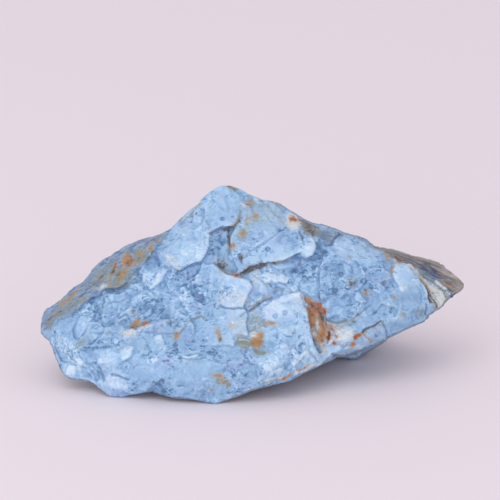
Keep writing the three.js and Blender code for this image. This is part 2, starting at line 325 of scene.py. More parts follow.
# Broken edges: the side to the right of the path stands proud. Height mm, fade px behind the edge,
# drop mm in front of it, fade px of that, how much paler the raised rim is painted as a highlight and
# the px over which that fades. Each edge also gets a painted shadow line just in front of it.
STEPS = [
    (RIND_FOOT, 0.22, 20, 0.18, 6, 0, 5), (PEAK_EDGE, 0.15, 26, 0.08, 4, 0.12, 9),
    (MIDDLE_EDGE, 0.16, 34, 0.14, 5, 0.14, 22), (LENS_TOP, 0.12, 20, 0.1, 6, 0.03, 5),
    (LENS_FOOT, 0.12, 22, 0.12, 4, 0.12, 6), (LOWER_RIGHT_EDGE, 0.2, 26, 0.1, 5, 0.12, 14),
    (RIGHT_EDGE, 0.12, 20, 0.1, 4, 0.12, 5), (RIM_OVER_WING, 0.15, 20, 0.15, 5, 0.1, 5),
    ([(311, 233), (315.5, 239), (317, 246), (315, 252), (311, 256), (305, 257.5), (299, 256),
      (294, 253)], 0.25, 7, 0.15, 4, 0.15, 6),
    ([(295, 279), (285, 283), (275, 283.5), (265, 283), (260, 279)], 0.35, 7, 0.15, 4, 0.12, 5),
    ([(402, 294), (397, 283), (393, 275), (391, 266), (395, 262)], 0.25, 9, 0.15, 4, 0.1, 8),
    ([(134, 346), (132, 352), (130, 357), (122, 363)], 0.2, 8, 0.1, 3, 0.22, 8),
    ([(129, 380), (118, 375), (109, 374)], 0.15, 6, 0.3, 5, 0, 4),
    ([(170, 268), (162, 280), (155, 287), (150, 289), (146, 285), (142, 279), (143, 271)], 0.35, 7,
      0.15, 4, 0.16, 6),
    ([(191, 231), (200, 226), (205, 220), (206, 212), (203, 206)], 0.15, 5, 0.2, 5, 0.1, 4),
    ([(204, 352), (195, 353), (186, 354), (178, 357)], 0.15, 5, 0.15, 3, 0, 4),
    ([(92, 382), (84, 370), (76, 362), (66, 352)], 0.15, 7, 0.12, 5, 0.06, 5),
    ([(200, 316), (190, 321), (180, 332), (160, 333), (140, 331)], 0.15, 8, 0.1, 4, 0.05, 6),
    ([(288, 372), (296, 358), (291, 350), (297, 343)], 0.15, 6, 0.1, 4, 0.08, 5),
]

# Fine cracks, some of them painted shadow lines under overhanging edges: path, half width px, depth mm,
# how dark. Their darkness is partly the cracks' own colour and partly painted shade in the groove.
CRACKS_AND_SHADE_LINES = [
    ([(229, 227), (228, 236), (229, 243), (228, 250), (229.5, 258)], 1, 0.12, 0.45),
    (LENS_FOOT, 1, 0.18, 0.45), ([(268, 263.2), (261, 265.5), (253, 267), (246, 271.5)], 2, 0.15, 0.7),
    ([(319.5, 268), (319, 280), (320, 290), (319, 298)], 0.6, 0.1, 0.55),
    ([(301, 230), (303, 240), (304, 245)], 0.9, 0.2, 0.6),
    ([(331, 244), (335, 238), (341, 232), (343, 229)], 1.1, 0.25, 0.65),
    ([(220, 305), (226, 307.5), (235, 308.5), (242, 308)], 1.1, 0.25, 0.75),
    ([(241, 316), (246, 312)], 0.9, 0.15, 0.55),
    ([(250, 310), (258, 305), (265, 300), (272, 297)], 1.2, 0.25, 0.75),
    ([(325, 320), (332, 323), (340, 323), (346, 321)], 0.8, 0.15, 0.6),
    ([(354, 318), (360, 314), (366, 309), (371, 305)], 0.6, 0.1, 0.4),
    ([(363, 333), (366, 330.5), (370, 328), (376, 326), (382, 321)], 1, 0.2, 1),
    ([(385, 322), (387, 328), (390, 337)], 1, 0.15, 0.55),
    ([(236, 343), (233.5, 339), (237, 335), (246, 336)], 1, 0.15, 0.5),
    ([(333, 334), (338, 340), (342, 346)], 1.2, 0.15, 0.5),
    ([(304, 340), (307, 347), (311, 355)], 0.8, 0.1, 0.4),
    ([(313, 338), (318, 347), (322, 354)], 0.8, 0.1, 0.5), ([(430, 292), (433, 302)], 1.4, 0.25, 1),
    ([(428, 304), (430, 309), (429, 314)], 1, 0.15, 0.7),
    ([(418, 286), (424, 298), (421, 308)], 0.7, 0.08, 0.4), ([(418, 316), (421, 320)], 0.8, 0.08, 0.5),
    ([(308, 340), (311, 352), (318, 362)], 0.9, 0.15, 0.45),
    ([(296, 345), (291, 352), (290, 361)], 0.9, 0.15, 0.35),
    ([(53, 347), (56, 354), (60, 361)], 1.2, 0.1, 0.7),
    ([(140, 331), (160, 332.5), (180, 332), (186, 325), (190, 320), (200, 317)], 0.9, 0.15, 0.5),
    ([(97, 368), (99, 374), (103, 380)], 1.4, 0.2, 0.5),
    ([(209.5, 234), (209, 244), (207, 254)], 0.9, 0.1, 0.35),
    ([(76, 320), (71, 331), (73, 338), (77, 339)], 0.8, 0.03, 0.25),
    ([(92, 320), (98, 308)], 1, 0.06, 0.3), ([(132, 350), (130, 357), (122, 363)], 0.9, 0.1, 0.4),
    ([(111, 374), (120, 376), (128, 379)], 1.2, 0.15, 0.65), (LENS_TOP, 0.9, 0.15, 0.4),
    ([(333, 262), (345, 262), (351, 266), (352, 272)], 1.4, 0.15, 0.45),
    ([(240, 257), (242, 262)], 1.2, 0.2, 0.6), ([(262, 231), (263, 236), (259, 238)], 0.8, 0.1, 0.35),
    ([(182, 357), (190, 359.5), (200, 358.5), (206, 357)], 0.7, 0.08, 0.4),
    ([(70, 357), (82, 367), (95, 378)], 0.8, 0.12, 0.3), ([(85, 360), (97, 375)], 0.8, 0.12, 0.3),
    ([(300, 295), (304, 303), (308, 312), (309, 322)], 0.8, 0.1, 0.35),
    ([(160, 270), (168, 283), (171, 287)], 0.7, 0.12, 0.25),
    ([(165, 268), (174, 282), (177, 286)], 0.7, 0.12, 0.25),
    ([(182, 272), (190, 285), (196, 290)], 0.8, 0.15, 0.3),
    ([(128, 288), (140, 291), (150, 297)], 1, 0.15, 0.35),
    ([(104, 294), (102, 304), (102, 312), (100, 320)], 0.8, 0.12, 0.5),
    ([(180, 286), (188, 283), (195, 278)], 0.9, 0.12, 0.5),
    ([(62, 362), (70, 363), (75, 366)], 0.7, 0.08, 0.5),
    ([(78, 354), (85, 364), (92, 377), (97, 384)], 0.8, 0.1, 0.45),
    ([(82, 354), (88, 363), (95, 374)], 0.6, 0.06, 0.3),
    ([(154, 335), (162, 333.5), (164, 340)], 0.7, 0.08, 0.45),
    ([(112, 343), (118, 346), (122, 348)], 0.7, 0.05, 0.4),
    ([(150, 358), (156, 357), (162, 355)], 0.8, 0.06, 0.35),
]

# Small raised streaks, each with a painted highlight (glint) along it: path, half width px, height mm,
# how pale the painted highlight is.
STREAKS = [
    ([(90, 318), (85, 327), (79, 336)], 1.1, 0.06, 0.7), ([(119, 320), (126, 316)], 1, 0.1, 0.8),
    ([(120, 314), (129, 310)], 1, 0.1, 0.7), ([(183, 356), (190, 356.8), (197, 356)], 1.3, 0.1, 1),
    ([(362, 303), (357, 312), (352, 318)], 0.9, 0.1, 0.6),
    ([(268, 304), (280, 297.5), (290, 294.5), (300, 293)], 1.6, 0.1, 0.7),
    ([(264, 240), (257, 245), (250, 249)], 1.3, 0.1, 0.5),
    ([(206, 212), (205, 220), (200, 226)], 1.1, 0.1, 0.5),
    ([(106, 300), (103, 308), (101, 316)], 0.9, 0.1, 0.4),
    ([(133, 315), (138, 309), (140, 302)], 0.9, 0.1, 0.3),
    ([(197.6, 275.5), (198.4, 275.5)], 0.9, 0.05, 1.6),
    ([(239, 339), (244, 338.5), (249, 341)], 0.9, 0.06, 0.8),
    ([(249, 333), (253, 332), (258, 333)], 1.2, 0.06, 0.8),
    ([(240, 344), (247, 346), (253, 349)], 0.7, 0.05, 0.5),
    ([(184.2, 235), (184.8, 235)], 0.9, 0.05, 1), ([(361, 301.5), (361.8, 301.5)], 0.7, 0.05, 1.3),
    ([(112, 318), (118, 311), (120, 305)], 0.8, 0.1, 0.5),
    ([(152, 283), (156, 277), (158, 271)], 0.8, 0.08, 0.5),
    ([(146, 287), (143, 281), (143, 275)], 1.3, 0.08, 0.7),
    ([(127, 313), (132, 310), (137, 308)], 0.7, 0.06, 0.5),
    ([(144, 329), (149, 327), (152, 325)], 0.8, 0.08, 1),
    ([(128, 330), (135, 330.5), (141, 330)], 0.8, 0.06, 0.9),
    ([(109, 375), (113, 378), (119, 379)], 0.8, 0.06, 0.8),
    ([(107, 378), (106, 382), (107, 386)], 0.7, 0.05, 0.5),
    ([(60, 370), (64, 375), (70, 378)], 0.9, 0.05, 0.6),
    ([(124, 349), (129, 347), (132, 349)], 0.8, 0.06, 0.7),
    ([(84, 356), (91, 366), (98, 377)], 0.7, 0.05, 0.4),
    ([(172, 272), (176, 279), (180, 284)], 0.7, 0.05, 0.4),
    ([(94, 262), (104, 258), (112, 256)], 0.7, 0.03, 0.4),
    ([(92, 279), (98, 270), (105, 263)], 0.7, 0.03, 0.45),
    ([(55, 312), (62, 307), (70, 301)], 0.7, 0.03, 0.35), ([(104, 306), (107, 300)], 0.8, 0.06, 0.5),
    ([(150, 314), (156, 314), (160, 312)], 0.8, 0.06, 0.4), ([(116, 296), (121, 293)], 0.8, 0.06, 0.4),
    ([(166, 287), (170, 281), (173, 276)], 0.8, 0.08, 0.5),
    ([(93, 330), (98, 325), (101, 319)], 0.8, 0.06, 0.5),
    ([(184, 294), (190, 297), (194, 302)], 0.8, 0.06, 0.35),
    ([(208, 236), (208, 246), (206, 255)], 1, 0.05, 0.45),
    ([(184, 264), (178, 268), (174, 266)], 1, 0.05, 0.4),
    ([(249, 284), (250, 289), (247, 295), (247, 301)], 1, 0.05, 0.4),
    ([(417, 272), (421, 281), (426, 290), (430, 300)], 1, 0.05, 0.5),
]

# Gas-bubble rings: x, y, radius px, how dark.
RINGS = [
    (222.5, 219, 2.3, 0.7), (232.5, 217, 1, 0.6), (267.5, 249.5, 3, 0.8), (341, 274, 3.2, 0.7),
    (364, 281, 3.6, 0.8), (335, 290, 3.4, 0.6), (365, 269, 2.6, 0.5), (384, 283, 2.2, 0.4),
    (385, 314, 1.8, 0.5), (275.5, 316.5, 3, 0.8), (285, 313.5, 2.8, 0.7), (213, 202, 2.2, 0.3),
    (350, 301, 2.6, 0.5), (375, 312, 2.4, 0.4), (378, 336, 1.7, 0.5), (326, 268, 2.4, 0.4),
    (292, 248, 2.2, 0.3), (280, 243, 2, 0.3), (187, 288, 3, 0.3), (200, 296, 3.4, 0.3),
]

# Shallow swells and hollows: x, y, rx, ry, angle, height mm.
SWELLS = [
    (308, 249, 9, 9, 0, 0.35), (272, 277, 12, 6, 10, 0.3), (153, 262, 8, 8, 0, 0.5),
    (408, 276, 13, 12, 30, 0.35), (153, 278, 9, 8, 0, 0.3), (230, 292, 20, 14, 0, 0.25),
    (232, 322, 14, 14, 0, 0.2), (285, 320, 20, 24, 10, 0.3), (196, 217, 9, 9, 0, -0.35),
    (200, 246, 10, 13, 0, 0.25), (270, 248, 20, 12, -20, 0.25), (118, 262, 16, 9, -40, 0.25),
    (82, 324, 9, 15, 30, 0.12), (128, 352, 8, 6, 0, 0.25), (108, 362, 12, 7, 0, 0.2),
    (118, 382, 11, 6, 10, -0.3), (160, 338, 6, 5, 0, 0.2), (218, 368, 20, 12, 0, 0.2),
    (160, 365, 22, 14, 0, -0.25), (355, 246, 20, 9, 20, 0.3), (345, 285, 22, 18, 0, -0.25),
    (385, 300, 20, 18, 0, 0.3), (345, 337, 12, 8, -10, 0.25), (380, 333, 9, 7, -20, 0.25),
    (288, 368, 8, 9, 0, -0.3), (262, 352, 14, 8, 20, -0.25), (250, 222, 14, 16, 0, 0.2),
    (276, 216, 16, 10, 20, 0.2), (218, 245, 8, 14, 0, -0.3), (300, 272, 16, 14, -30, -0.4),
    (323, 250, 6, 12, 10, -0.35), (185, 300, 14, 12, 0, 0.2), (130, 300, 16, 8, 0, -0.3),
    (106, 318, 10, 10, 0, 0.25), (165, 312, 12, 10, 0, 0.25), (75, 360, 12, 10, 40, 0.3),
]

# Hollows made shallower: outline, height in mm of the rim at the outline's top and at its foot (measured
# towards the viewer from the point that the camera looks at), share of the depth kept, softness px.
FILLS = [
    ([(141, 263), (149, 250), (159, 251), (167, 260), (166, 267), (158, 275), (148, 284), (137, 282)],
      -4.6, -2.9, 0.15, 2.5),
    ([(172, 270), (180, 271), (188, 267), (200, 263), (202, 266), (196, 275), (188, 283), (176, 284),
      (168, 278)], -1.2, -1.6, 0.35, 2.5),
    ([(303, 296), (311, 297), (320, 299), (326, 312), (329, 328), (330, 338), (327, 346), (323, 352),
      (315, 344), (310, 330), (307, 314)], 1.2, 1.7, 0.2, 1.5),
    ([(210, 236), (222, 228), (229, 230), (229, 258), (236, 266), (240, 272), (225, 268), (215, 262),
      (203, 262)], -3.6, -0.2, 0.65, 2),
    ([(96, 292), (108, 290), (128, 285), (136, 284), (134, 292), (112, 299), (98, 301)], -2.8, -2, 0.5,
      3),
    ([(247, 309), (257, 306), (263, 311), (259, 320), (255, 333), (247, 333)], 2.5, 3.7, 0.45, 2),
]

# A place pulled along in the picture: x, y, rx, ry, angle; and how far right and down, px.
PULLED_PLACE = (354, 346, 34, 14, -15)
PULLED_BY = (1, 5)

# Zones of tone: outline, how much paler or darker, softness px. Some zones are painted shade in hollows
# and under overhanging edges, and one is painted light on a shaded underside; these are marked.
TONES = [
    ([(42, 330), (60, 335), (75, 345), (95, 370), (92, 384), (64, 378), (52, 350)], 0.12, 6),
    ([(95, 365), (130, 370), (135, 392), (110, 398), (95, 388)], 0.12, 6),
    ([(235, 350), (280, 352), (285, 380), (240, 392)], 0.06, 8),
    ([(226, 272), (246, 278), (252, 287), (248, 303), (232, 304), (228, 290)], 0.06, 4),
    ([(250, 270), (318, 256), (318, 292), (255, 296)], 0.06, 6),
    ([(247, 313), (268, 308), (270, 328), (250, 334)], 0.16, 3),
    ([(45, 335), (70, 340), (110, 345), (150, 340), (200, 346), (250, 350), (320, 350), (330, 362),
      (250, 395), (215, 408), (100, 395), (60, 375)], 0.02, 8),
    (RIND, -0.25, 3),
    (PEAK_EDGE + [(160, 240), (185, 214), (205, 195), (225, 183), (240, 188)], 0.08, 4),
    ([(190, 240), (206, 240), (207, 250), (200, 260), (190, 262), (180, 267), (175, 255)], 0.1, 4),
    ([(240, 206), (236, 226), (222, 227), (211, 233), (208, 252), (200, 262), (214, 264), (228, 276),
      (230, 240), (243, 215)], -0.02, 2),
    ([(243, 190), (290, 210), (292, 225), (265, 243), (250, 250), (232, 262), (229, 240), (240, 222)],
      0.1, 3),
    (LENS_TOP[::-1] + [(300, 230), (301, 252)] + LENS_FOOT[1:6] + [(243, 262)], 0.14, 2),
    # painted shade under the lens facet's overhanging upper edge
    ([(278, 230), (292, 226), (300, 232), (298, 246), (276, 244)], -0.22, 5),
    ([(300, 238), (311, 235), (316, 240), (317, 247), (314, 253), (308, 257), (300, 256), (297, 250)],
      0.12, 1.5),
    ([(300, 250), (316, 244), (315, 251), (310, 256), (303, 257)], 0.14, 4),
    (LENS_FOOT + [(250, 283), (258, 295), (300, 293), (319, 297), (319, 270), (328, 246), (316, 240),
      (314, 254)], 0.03, 2.5),
    ([(262, 274), (270, 271), (292, 279), (284, 283), (266, 283)], 0.26, 2.5),
    ([(254, 270), (263, 272), (261, 285), (252, 280)], 0.1, 3),
    ([(206, 272), (240, 285), (246, 305), (243, 330), (215, 335), (206, 310)], 0.03, 12),
    ([(215, 272), (243, 278), (251, 287), (246, 305), (222, 306), (226, 288)], 0.05, 4),
    ([(250, 312)] + LOWER_RIGHT_EDGE + [(300, 372), (262, 372), (250, 350)], 0.13, 4),
    ([(262, 312), (280, 299), (301, 295), (306, 308), (290, 316), (268, 322)], 0.18, 5),
    ([(247, 313), (262, 308), (270, 322), (262, 335), (272, 352), (250, 350), (247, 330)], -0.12, 3),
    ([(322, 262), (345, 232), (376, 246), (398, 262), (392, 276), (402, 296), (425, 300), (430, 318),
      (385, 342), (350, 330), (330, 322), (319, 297)], -0.02, 4),
    ([(332, 246), (345, 234), (366, 240), (380, 254), (370, 262), (345, 258)], 0.16, 5),
    ([(391, 266), (398, 262), (412, 268), (420, 280), (418, 292), (402, 292), (394, 278)], 0.2, 2.5),
    ([(380, 300), (410, 296), (425, 305), (420, 320), (395, 332), (380, 318)], 0.06, 6),
    ([(331, 330), (345, 325), (356, 328), (354, 340), (344, 347), (335, 356), (325, 360), (327, 346)],
      0.3, 3),
    ([(370, 326), (384, 322), (390, 337), (374, 345), (362, 340)], 0.12, 2),
    ([(104, 265), (168, 268), (198, 285), (200, 312), (180, 330), (140, 330), (100, 300)], 0.03, 8),
    # painted shade in the hollow by the rind wall
    ([(145, 256), (158, 254), (160, 266), (146, 272)], -0.2, 3),
    # painted shadow under the rind's foot
    ([(106, 288), (128, 284), (132, 290), (112, 294)], -0.18, 3),
    ([(142, 272), (168, 268), (160, 284), (150, 289), (144, 284)], 0.22, 2.5),
    ([(84, 310), (110, 300), (140, 305), (140, 330), (100, 335), (80, 330)], 0.03, 6),
    ([(78, 312), (92, 306), (96, 318), (86, 332), (76, 339), (72, 332)], 0.12, 2.5),
    ([(154, 335), (162, 334), (163, 341), (157, 344), (154, 341)], 0.24, 1.2),
    ([(150, 343), (164, 343), (166, 350), (152, 350)], 0.1, 3),
    ([(88, 340), (112, 338), (114, 347), (96, 350), (88, 348)], -0.12, 2),
    ([(76, 348), (92, 346), (96, 360), (84, 360)], -0.1, 2),
    ([(62, 364), (74, 367), (72, 378), (64, 375)], 0.16, 1.5),
    # painted shade on a low band at the lower left
    ([(73, 371), (90, 374), (94, 381), (72, 379)], -0.18, 2),
    ([(94, 368), (101, 368), (103, 380), (96, 378)], -0.22, 1.5),
    ([(100, 352), (114, 348), (119, 358), (108, 368), (98, 362)], 0.14, 2),
    ([(56, 338), (72, 341), (76, 352), (62, 358)], 0.08, 2),
    ([(76, 356), (86, 366), (95, 380), (88, 378), (78, 366)], 0.08, 1.2),
    # painted shade along the bottom rim
    ([(112, 391), (148, 389), (152, 393), (130, 398), (112, 397)], -0.15, 2),
    # painted shade under an overhang at the bottom rim
    ([(150, 390), (164, 391), (164, 396), (152, 394)], -0.3, 2),
    ([(158, 297), (171, 297), (173, 305), (160, 305)], -0.1, 1.5),
    ([(174, 298), (190, 297), (192, 312), (176, 311)], 0.1, 1.5),
    ([(161, 308), (170, 307), (170, 318), (162, 318)], -0.22, 1.5),
    ([(140, 302), (154, 305), (155, 312), (142, 309)], -0.2, 1.5),
    ([(183, 278), (197, 274), (192, 283), (180, 286)], -0.2, 2),
    ([(168, 272), (175, 276), (176, 287), (168, 292), (165, 280)], 0.1, 1.5),
    ([(173, 270), (183, 269), (184, 277), (176, 280)], -0.08, 1.5),
    ([(188, 288), (196, 293), (200, 303), (194, 302)], -0.25, 2),
    ([(104, 298), (112, 294), (116, 306), (108, 314)], 0.12, 1.5),
    ([(116, 298), (124, 296), (126, 308), (118, 310)], 0.1, 1.5),
    ([(88, 300), (100, 296), (101, 318), (92, 324), (86, 312)], -0.08, 2),
    ([(250, 286), (262, 285), (266, 291), (252, 294)], 0.14, 1.5),
    ([(270, 286), (290, 285), (284, 292), (272, 291)], -0.12, 1.5),
    ([(290, 270), (306, 262), (316, 262), (300, 276)], -0.14, 2),
    ([(286, 276), (300, 270), (308, 276), (296, 286)], 0.12, 1.5),
    ([(120, 350), (132, 350), (131, 357), (122, 360)], 0.24, 2),
    ([(92, 350), (104, 350), (120, 356), (114, 368), (98, 364)], 0.1, 3),
    ([(108, 377), (126, 380), (128, 388), (114, 389), (108, 384)], 0.26, 2),
    ([(283, 356), (292, 355), (293, 368), (284, 372)], -0.15, 3),
    ([(160, 343), (250, 350), (240, 362), (200, 354), (165, 352)], -0.08, 4),
    # painted light on the underside strip, which faces down into shade
    ([(335, 357), (345, 353), (378, 343), (386, 342), (377, 350), (357, 362), (338, 360)], 0.55, 3),
    ([(55, 365), (70, 360), (100, 385), (90, 384), (64, 378)], 0.05, 3),
    # painted shadow just below the top edge
    ([(318, 232), (330, 228), (334, 240), (330, 252), (318, 262), (320, 245)], -0.2, 3),
    ([(302, 222), (345, 232), (335, 240), (316, 234)], -0.18, 3),
]

# Larger stains, drawn round, by colour: outline, softness px, strength.
PATCHES = {
    "ochre": [
        ([(304, 297), (311, 297), (312, 303), (309, 306), (306, 302)], 1.5, 1),
        ([(306, 306), (314, 309), (322, 316), (327, 330), (327, 342), (324, 352), (319, 344),
          (313, 338), (309, 326)], 1.2, 1.3),
        ([(125, 250), (134, 259), (137, 263), (134, 264), (127, 268), (123, 267), (121, 263),
          (121, 257)], 2.5, 1),
        ([(122, 268), (126, 270), (120, 282), (116, 283), (118, 275)], 3, 0.6),
        ([(136, 252), (142, 251), (141, 258), (137, 261)], 2.5, 0.5),
        ([(112, 263), (116, 262), (115, 270), (111, 278), (108, 287), (105, 288), (108, 279)], 2, 1),
        ([(252, 333), (259, 331), (264, 333), (263, 342), (260, 348), (253, 347), (250, 342)], 2.5, 1),
        ([(129, 327), (133, 321), (138, 318), (141, 320), (139, 325), (134, 328)], 2, 0.9),
        ([(287, 218), (293, 214), (299, 218), (295, 222), (290, 224)], 1.5, 0.9),
    ],
    "rust": [
        ([(305, 298), (312, 302), (321, 303), (323, 307), (327, 309), (327, 314), (324, 317),
          (320, 316), (316, 314), (312, 311), (308, 306)], 1.5, 1),
        ([(308, 307), (313, 309), (316, 314), (314, 318), (310, 315)], 1.5, 0.6),
        ([(320, 321), (323, 322), (325, 333), (325, 338), (322, 342), (320, 336)], 2, 0.6),
        ([(324, 321), (327, 323), (329, 328), (326, 330)], 1.5, 0.8),
        ([(327, 331), (331, 331), (332, 336), (330, 341), (327, 339)], 1.5, 0.9),
        ([(143, 321), (146, 319), (150, 323), (144, 326), (141, 325)], 1.8, 1),
        ([(354, 337), (357, 333), (362, 334), (363, 337), (359, 340), (355, 341)], 1.5, 1.4),
        ([(290, 216), (294, 213), (300, 217), (298, 220), (291, 220)], 2, 0.75),
    ],
    "brown": [
        ([(216, 262), (221, 260), (226, 265), (225, 270), (219, 269)], 3, 0.65),
        ([(238, 274), (250, 265), (259, 263), (268, 263), (268, 266), (252, 272), (243, 275)], 2, 0.6),
        ([(303, 219), (308, 221), (313, 226), (318, 229), (316, 234), (309, 232), (303, 223)], 3.5,
          0.6),
        ([(319, 313), (322, 311), (324, 317), (322, 322), (319, 318)], 2, 1),
    ],
    "cream": [
        ([(119, 330), (140, 330), (135, 336), (127, 338), (122, 334)], 3, 0.7),
        ([(428, 283), (434, 284), (443, 290), (451, 298), (447, 303), (441, 309), (435, 302)], 1.5,
          1.2),
        ([(97, 289), (100, 285), (106, 284), (104, 288), (99, 290)], 1.5, 1),
        ([(334, 332), (345, 328), (355, 330), (354, 336), (347, 340), (344, 346), (338, 344)], 3, 0.6),
        ([(286, 213), (294, 210), (303, 218), (302, 226), (295, 230), (288, 226)], 2, 0.9),
    ],
    "green": [
        ([(132, 250), (143, 248), (146, 256), (139, 264), (134, 258)], 3, 0.8),
        ([(118, 268), (128, 269), (128, 279), (120, 285), (112, 287), (114, 276)], 3, 0.8),
        ([(236, 338), (240, 336), (250, 338), (253, 345), (248, 349), (240, 346), (236, 342)], 2.5, 1),
        ([(252, 348), (262, 348), (270, 352), (264, 356), (254, 354)], 2.5, 0.8),
        ([(299, 216), (308, 219), (318, 226), (328, 229), (318, 235), (306, 232), (300, 224)], 3, 0.7),
    ],
}

# Stained lines by colour: path, half width px, strength.
LINES = {
    "ochre": [
        ([(272, 262), (282, 260.5), (292, 257)], 0.9, 0.7),
        ([(222, 271), (228, 275), (243, 278)], 1, 0.75),
        ([(250, 309), (264, 298), (270, 295)], 0.9, 0.7),
        ([(262, 285), (272, 287), (292, 293)], 0.8, 0.5),
        ([(330, 326), (337, 329), (344, 333)], 1.4, 0.7),
        ([(391, 276), (390.5, 268), (394, 263)], 1, 0.9),
        ([(398, 262), (405, 265), (411, 269), (416, 274)], 0.9, 0.8),
        ([(385, 255), (387, 260)], 1.2, 0.7), ([(380, 252), (393, 259)], 1, 0.6),
        ([(413, 266), (427, 281)], 0.9, 0.7), ([(422, 279), (426, 284), (429, 289)], 1.9, 1),
        ([(444, 281), (454, 287)], 1.6, 0.8), ([(438, 290), (444, 296), (449, 300)], 0.8, 0.6),
        ([(350, 319), (358, 316), (365, 310), (371, 306)], 0.9, 0.35),
        ([(192, 320), (180, 332)], 0.9, 0.35), ([(64, 301), (70, 297), (76, 292)], 1.1, 0.8),
        ([(116, 284), (122, 277), (128, 272)], 1.2, 0.8), ([(365, 335), (374, 342)], 1.7, 0.8),
        ([(276, 380.5), (284, 378.5), (292, 375)], 1.1, 0.8), ([(298, 372.5), (310, 367)], 1.1, 0.8),
        ([(228, 384), (227, 389)], 1.2, 0.7), ([(326, 344), (329, 349), (328, 355)], 1, 0.7),
        ([(340, 327), (348, 324), (356, 324)], 0.9, 0.6),
    ],
    "rust": [
        ([(231, 273), (236, 275), (242, 275)], 0.9, 0.8), ([(361, 336), (357, 340), (354, 345)], 2, 1),
        ([(310, 308), (312, 327)], 1, 0.9), ([(322, 321), (323, 332), (323, 341)], 2, 0.9),
        ([(314, 311), (316, 318)], 0.8, 0.8), ([(330, 326), (338, 338)], 1.3, 0.7),
    ],
    "brown": [
        ([(229, 227), (228, 236), (229.5, 243), (229, 247)], 0.9, 0.7),
        ([(238, 223), (234, 226), (229, 228)], 1, 0.7),
        ([(236, 275), (254, 267), (275, 262)], 1.4, 0.8),
        ([(300, 295), (304, 302), (307, 310), (309, 320), (313, 331)], 0.8, 0.3),
        ([(317, 306), (323, 321), (324, 330)], 0.9, 0.8), ([(394, 256), (399, 261)], 1.5, 0.9),
        ([(427, 287), (431, 294), (434, 302)], 1.1, 1),
        ([(434, 292), (438, 298), (441, 304)], 0.5, 0.7), ([(438, 291), (445, 300)], 0.4, 0.6),
        ([(430, 290), (436, 300), (439, 308)], 0.8, 1), ([(441, 288), (450, 297)], 0.7, 0.9),
        ([(44, 324), (50, 318), (58, 312)], 1.1, 0.6), ([(88, 288), (100, 276)], 0.8, 0.5),
        ([(98, 279), (106, 270), (112, 262)], 0.8, 0.5),
        ([(309, 303), (314, 308), (320, 311)], 2.2, 0.5),
        ([(300, 217), (312, 224.5), (320, 226)], 1.2, 0.8), ([(340, 230), (344, 233)], 1, 0.7),
        ([(362, 334), (366, 331), (378, 325), (383, 321)], 0.8, 0.8),
    ],
    "cream": [
        ([(317.5, 320), (317, 328)], 1, 1), ([(417, 270), (433, 287), (445, 301)], 1.7, 0.9),
        ([(438, 281), (453, 294)], 1.3, 0.9), ([(446, 286), (451, 291), (456, 293)], 0.8, 0.7),
        ([(431, 290), (437, 298), (441, 306)], 1.6, 0.9), ([(296, 374.5), (322, 363)], 1.4, 0.8),
        ([(262, 383.5), (284, 377)], 1.3, 0.7), ([(240, 291), (245, 296), (247, 304)], 2.4, 0.6),
        ([(180, 268), (166, 256)], 2, 0.7),
    ],
    "green": [
        ([(246, 205), (247, 214), (247, 224), (249, 230)], 0.7, 0.9),
        ([(251, 208), (254, 213), (252, 221)], 0.7, 0.8),
        ([(262, 203), (268, 207), (272, 213)], 1, 0.7),
        ([(268, 201), (275, 203), (286, 211)], 0.9, 0.9),
        ([(274, 213), (280, 217), (285, 223)], 0.8, 0.9), ([(263, 213), (277, 228)], 0.8, 0.7),
        ([(240, 210), (239, 218), (236, 224), (230, 227)], 1.5, 1),
        ([(432, 287), (436, 292), (439, 297)], 0.9, 0.8), ([(433, 279), (449, 296)], 1.6, 0.6),
        ([(325, 320), (335, 323.5), (345, 322), (353, 320)], 1.2, 0.8),
        ([(50, 322), (60, 314), (72, 306), (84, 300)], 2.4, 0.7),
        ([(133, 249), (140, 250), (144, 247)], 1.6, 0.8),
        ([(110, 288), (118, 285), (127, 280), (134, 274)], 2, 0.8),
        ([(262, 385), (280, 380)], 1.4, 0.8), ([(200, 204), (182, 222)], 1.2, 0.8),
        ([(226, 187), (238, 190)], 1.6, 0.9), ([(324, 350), (330, 354)], 1.6, 0.7),
        ([(360, 337), (368, 332), (378, 328), (386, 322)], 2.6, 0.5),
    ],
}

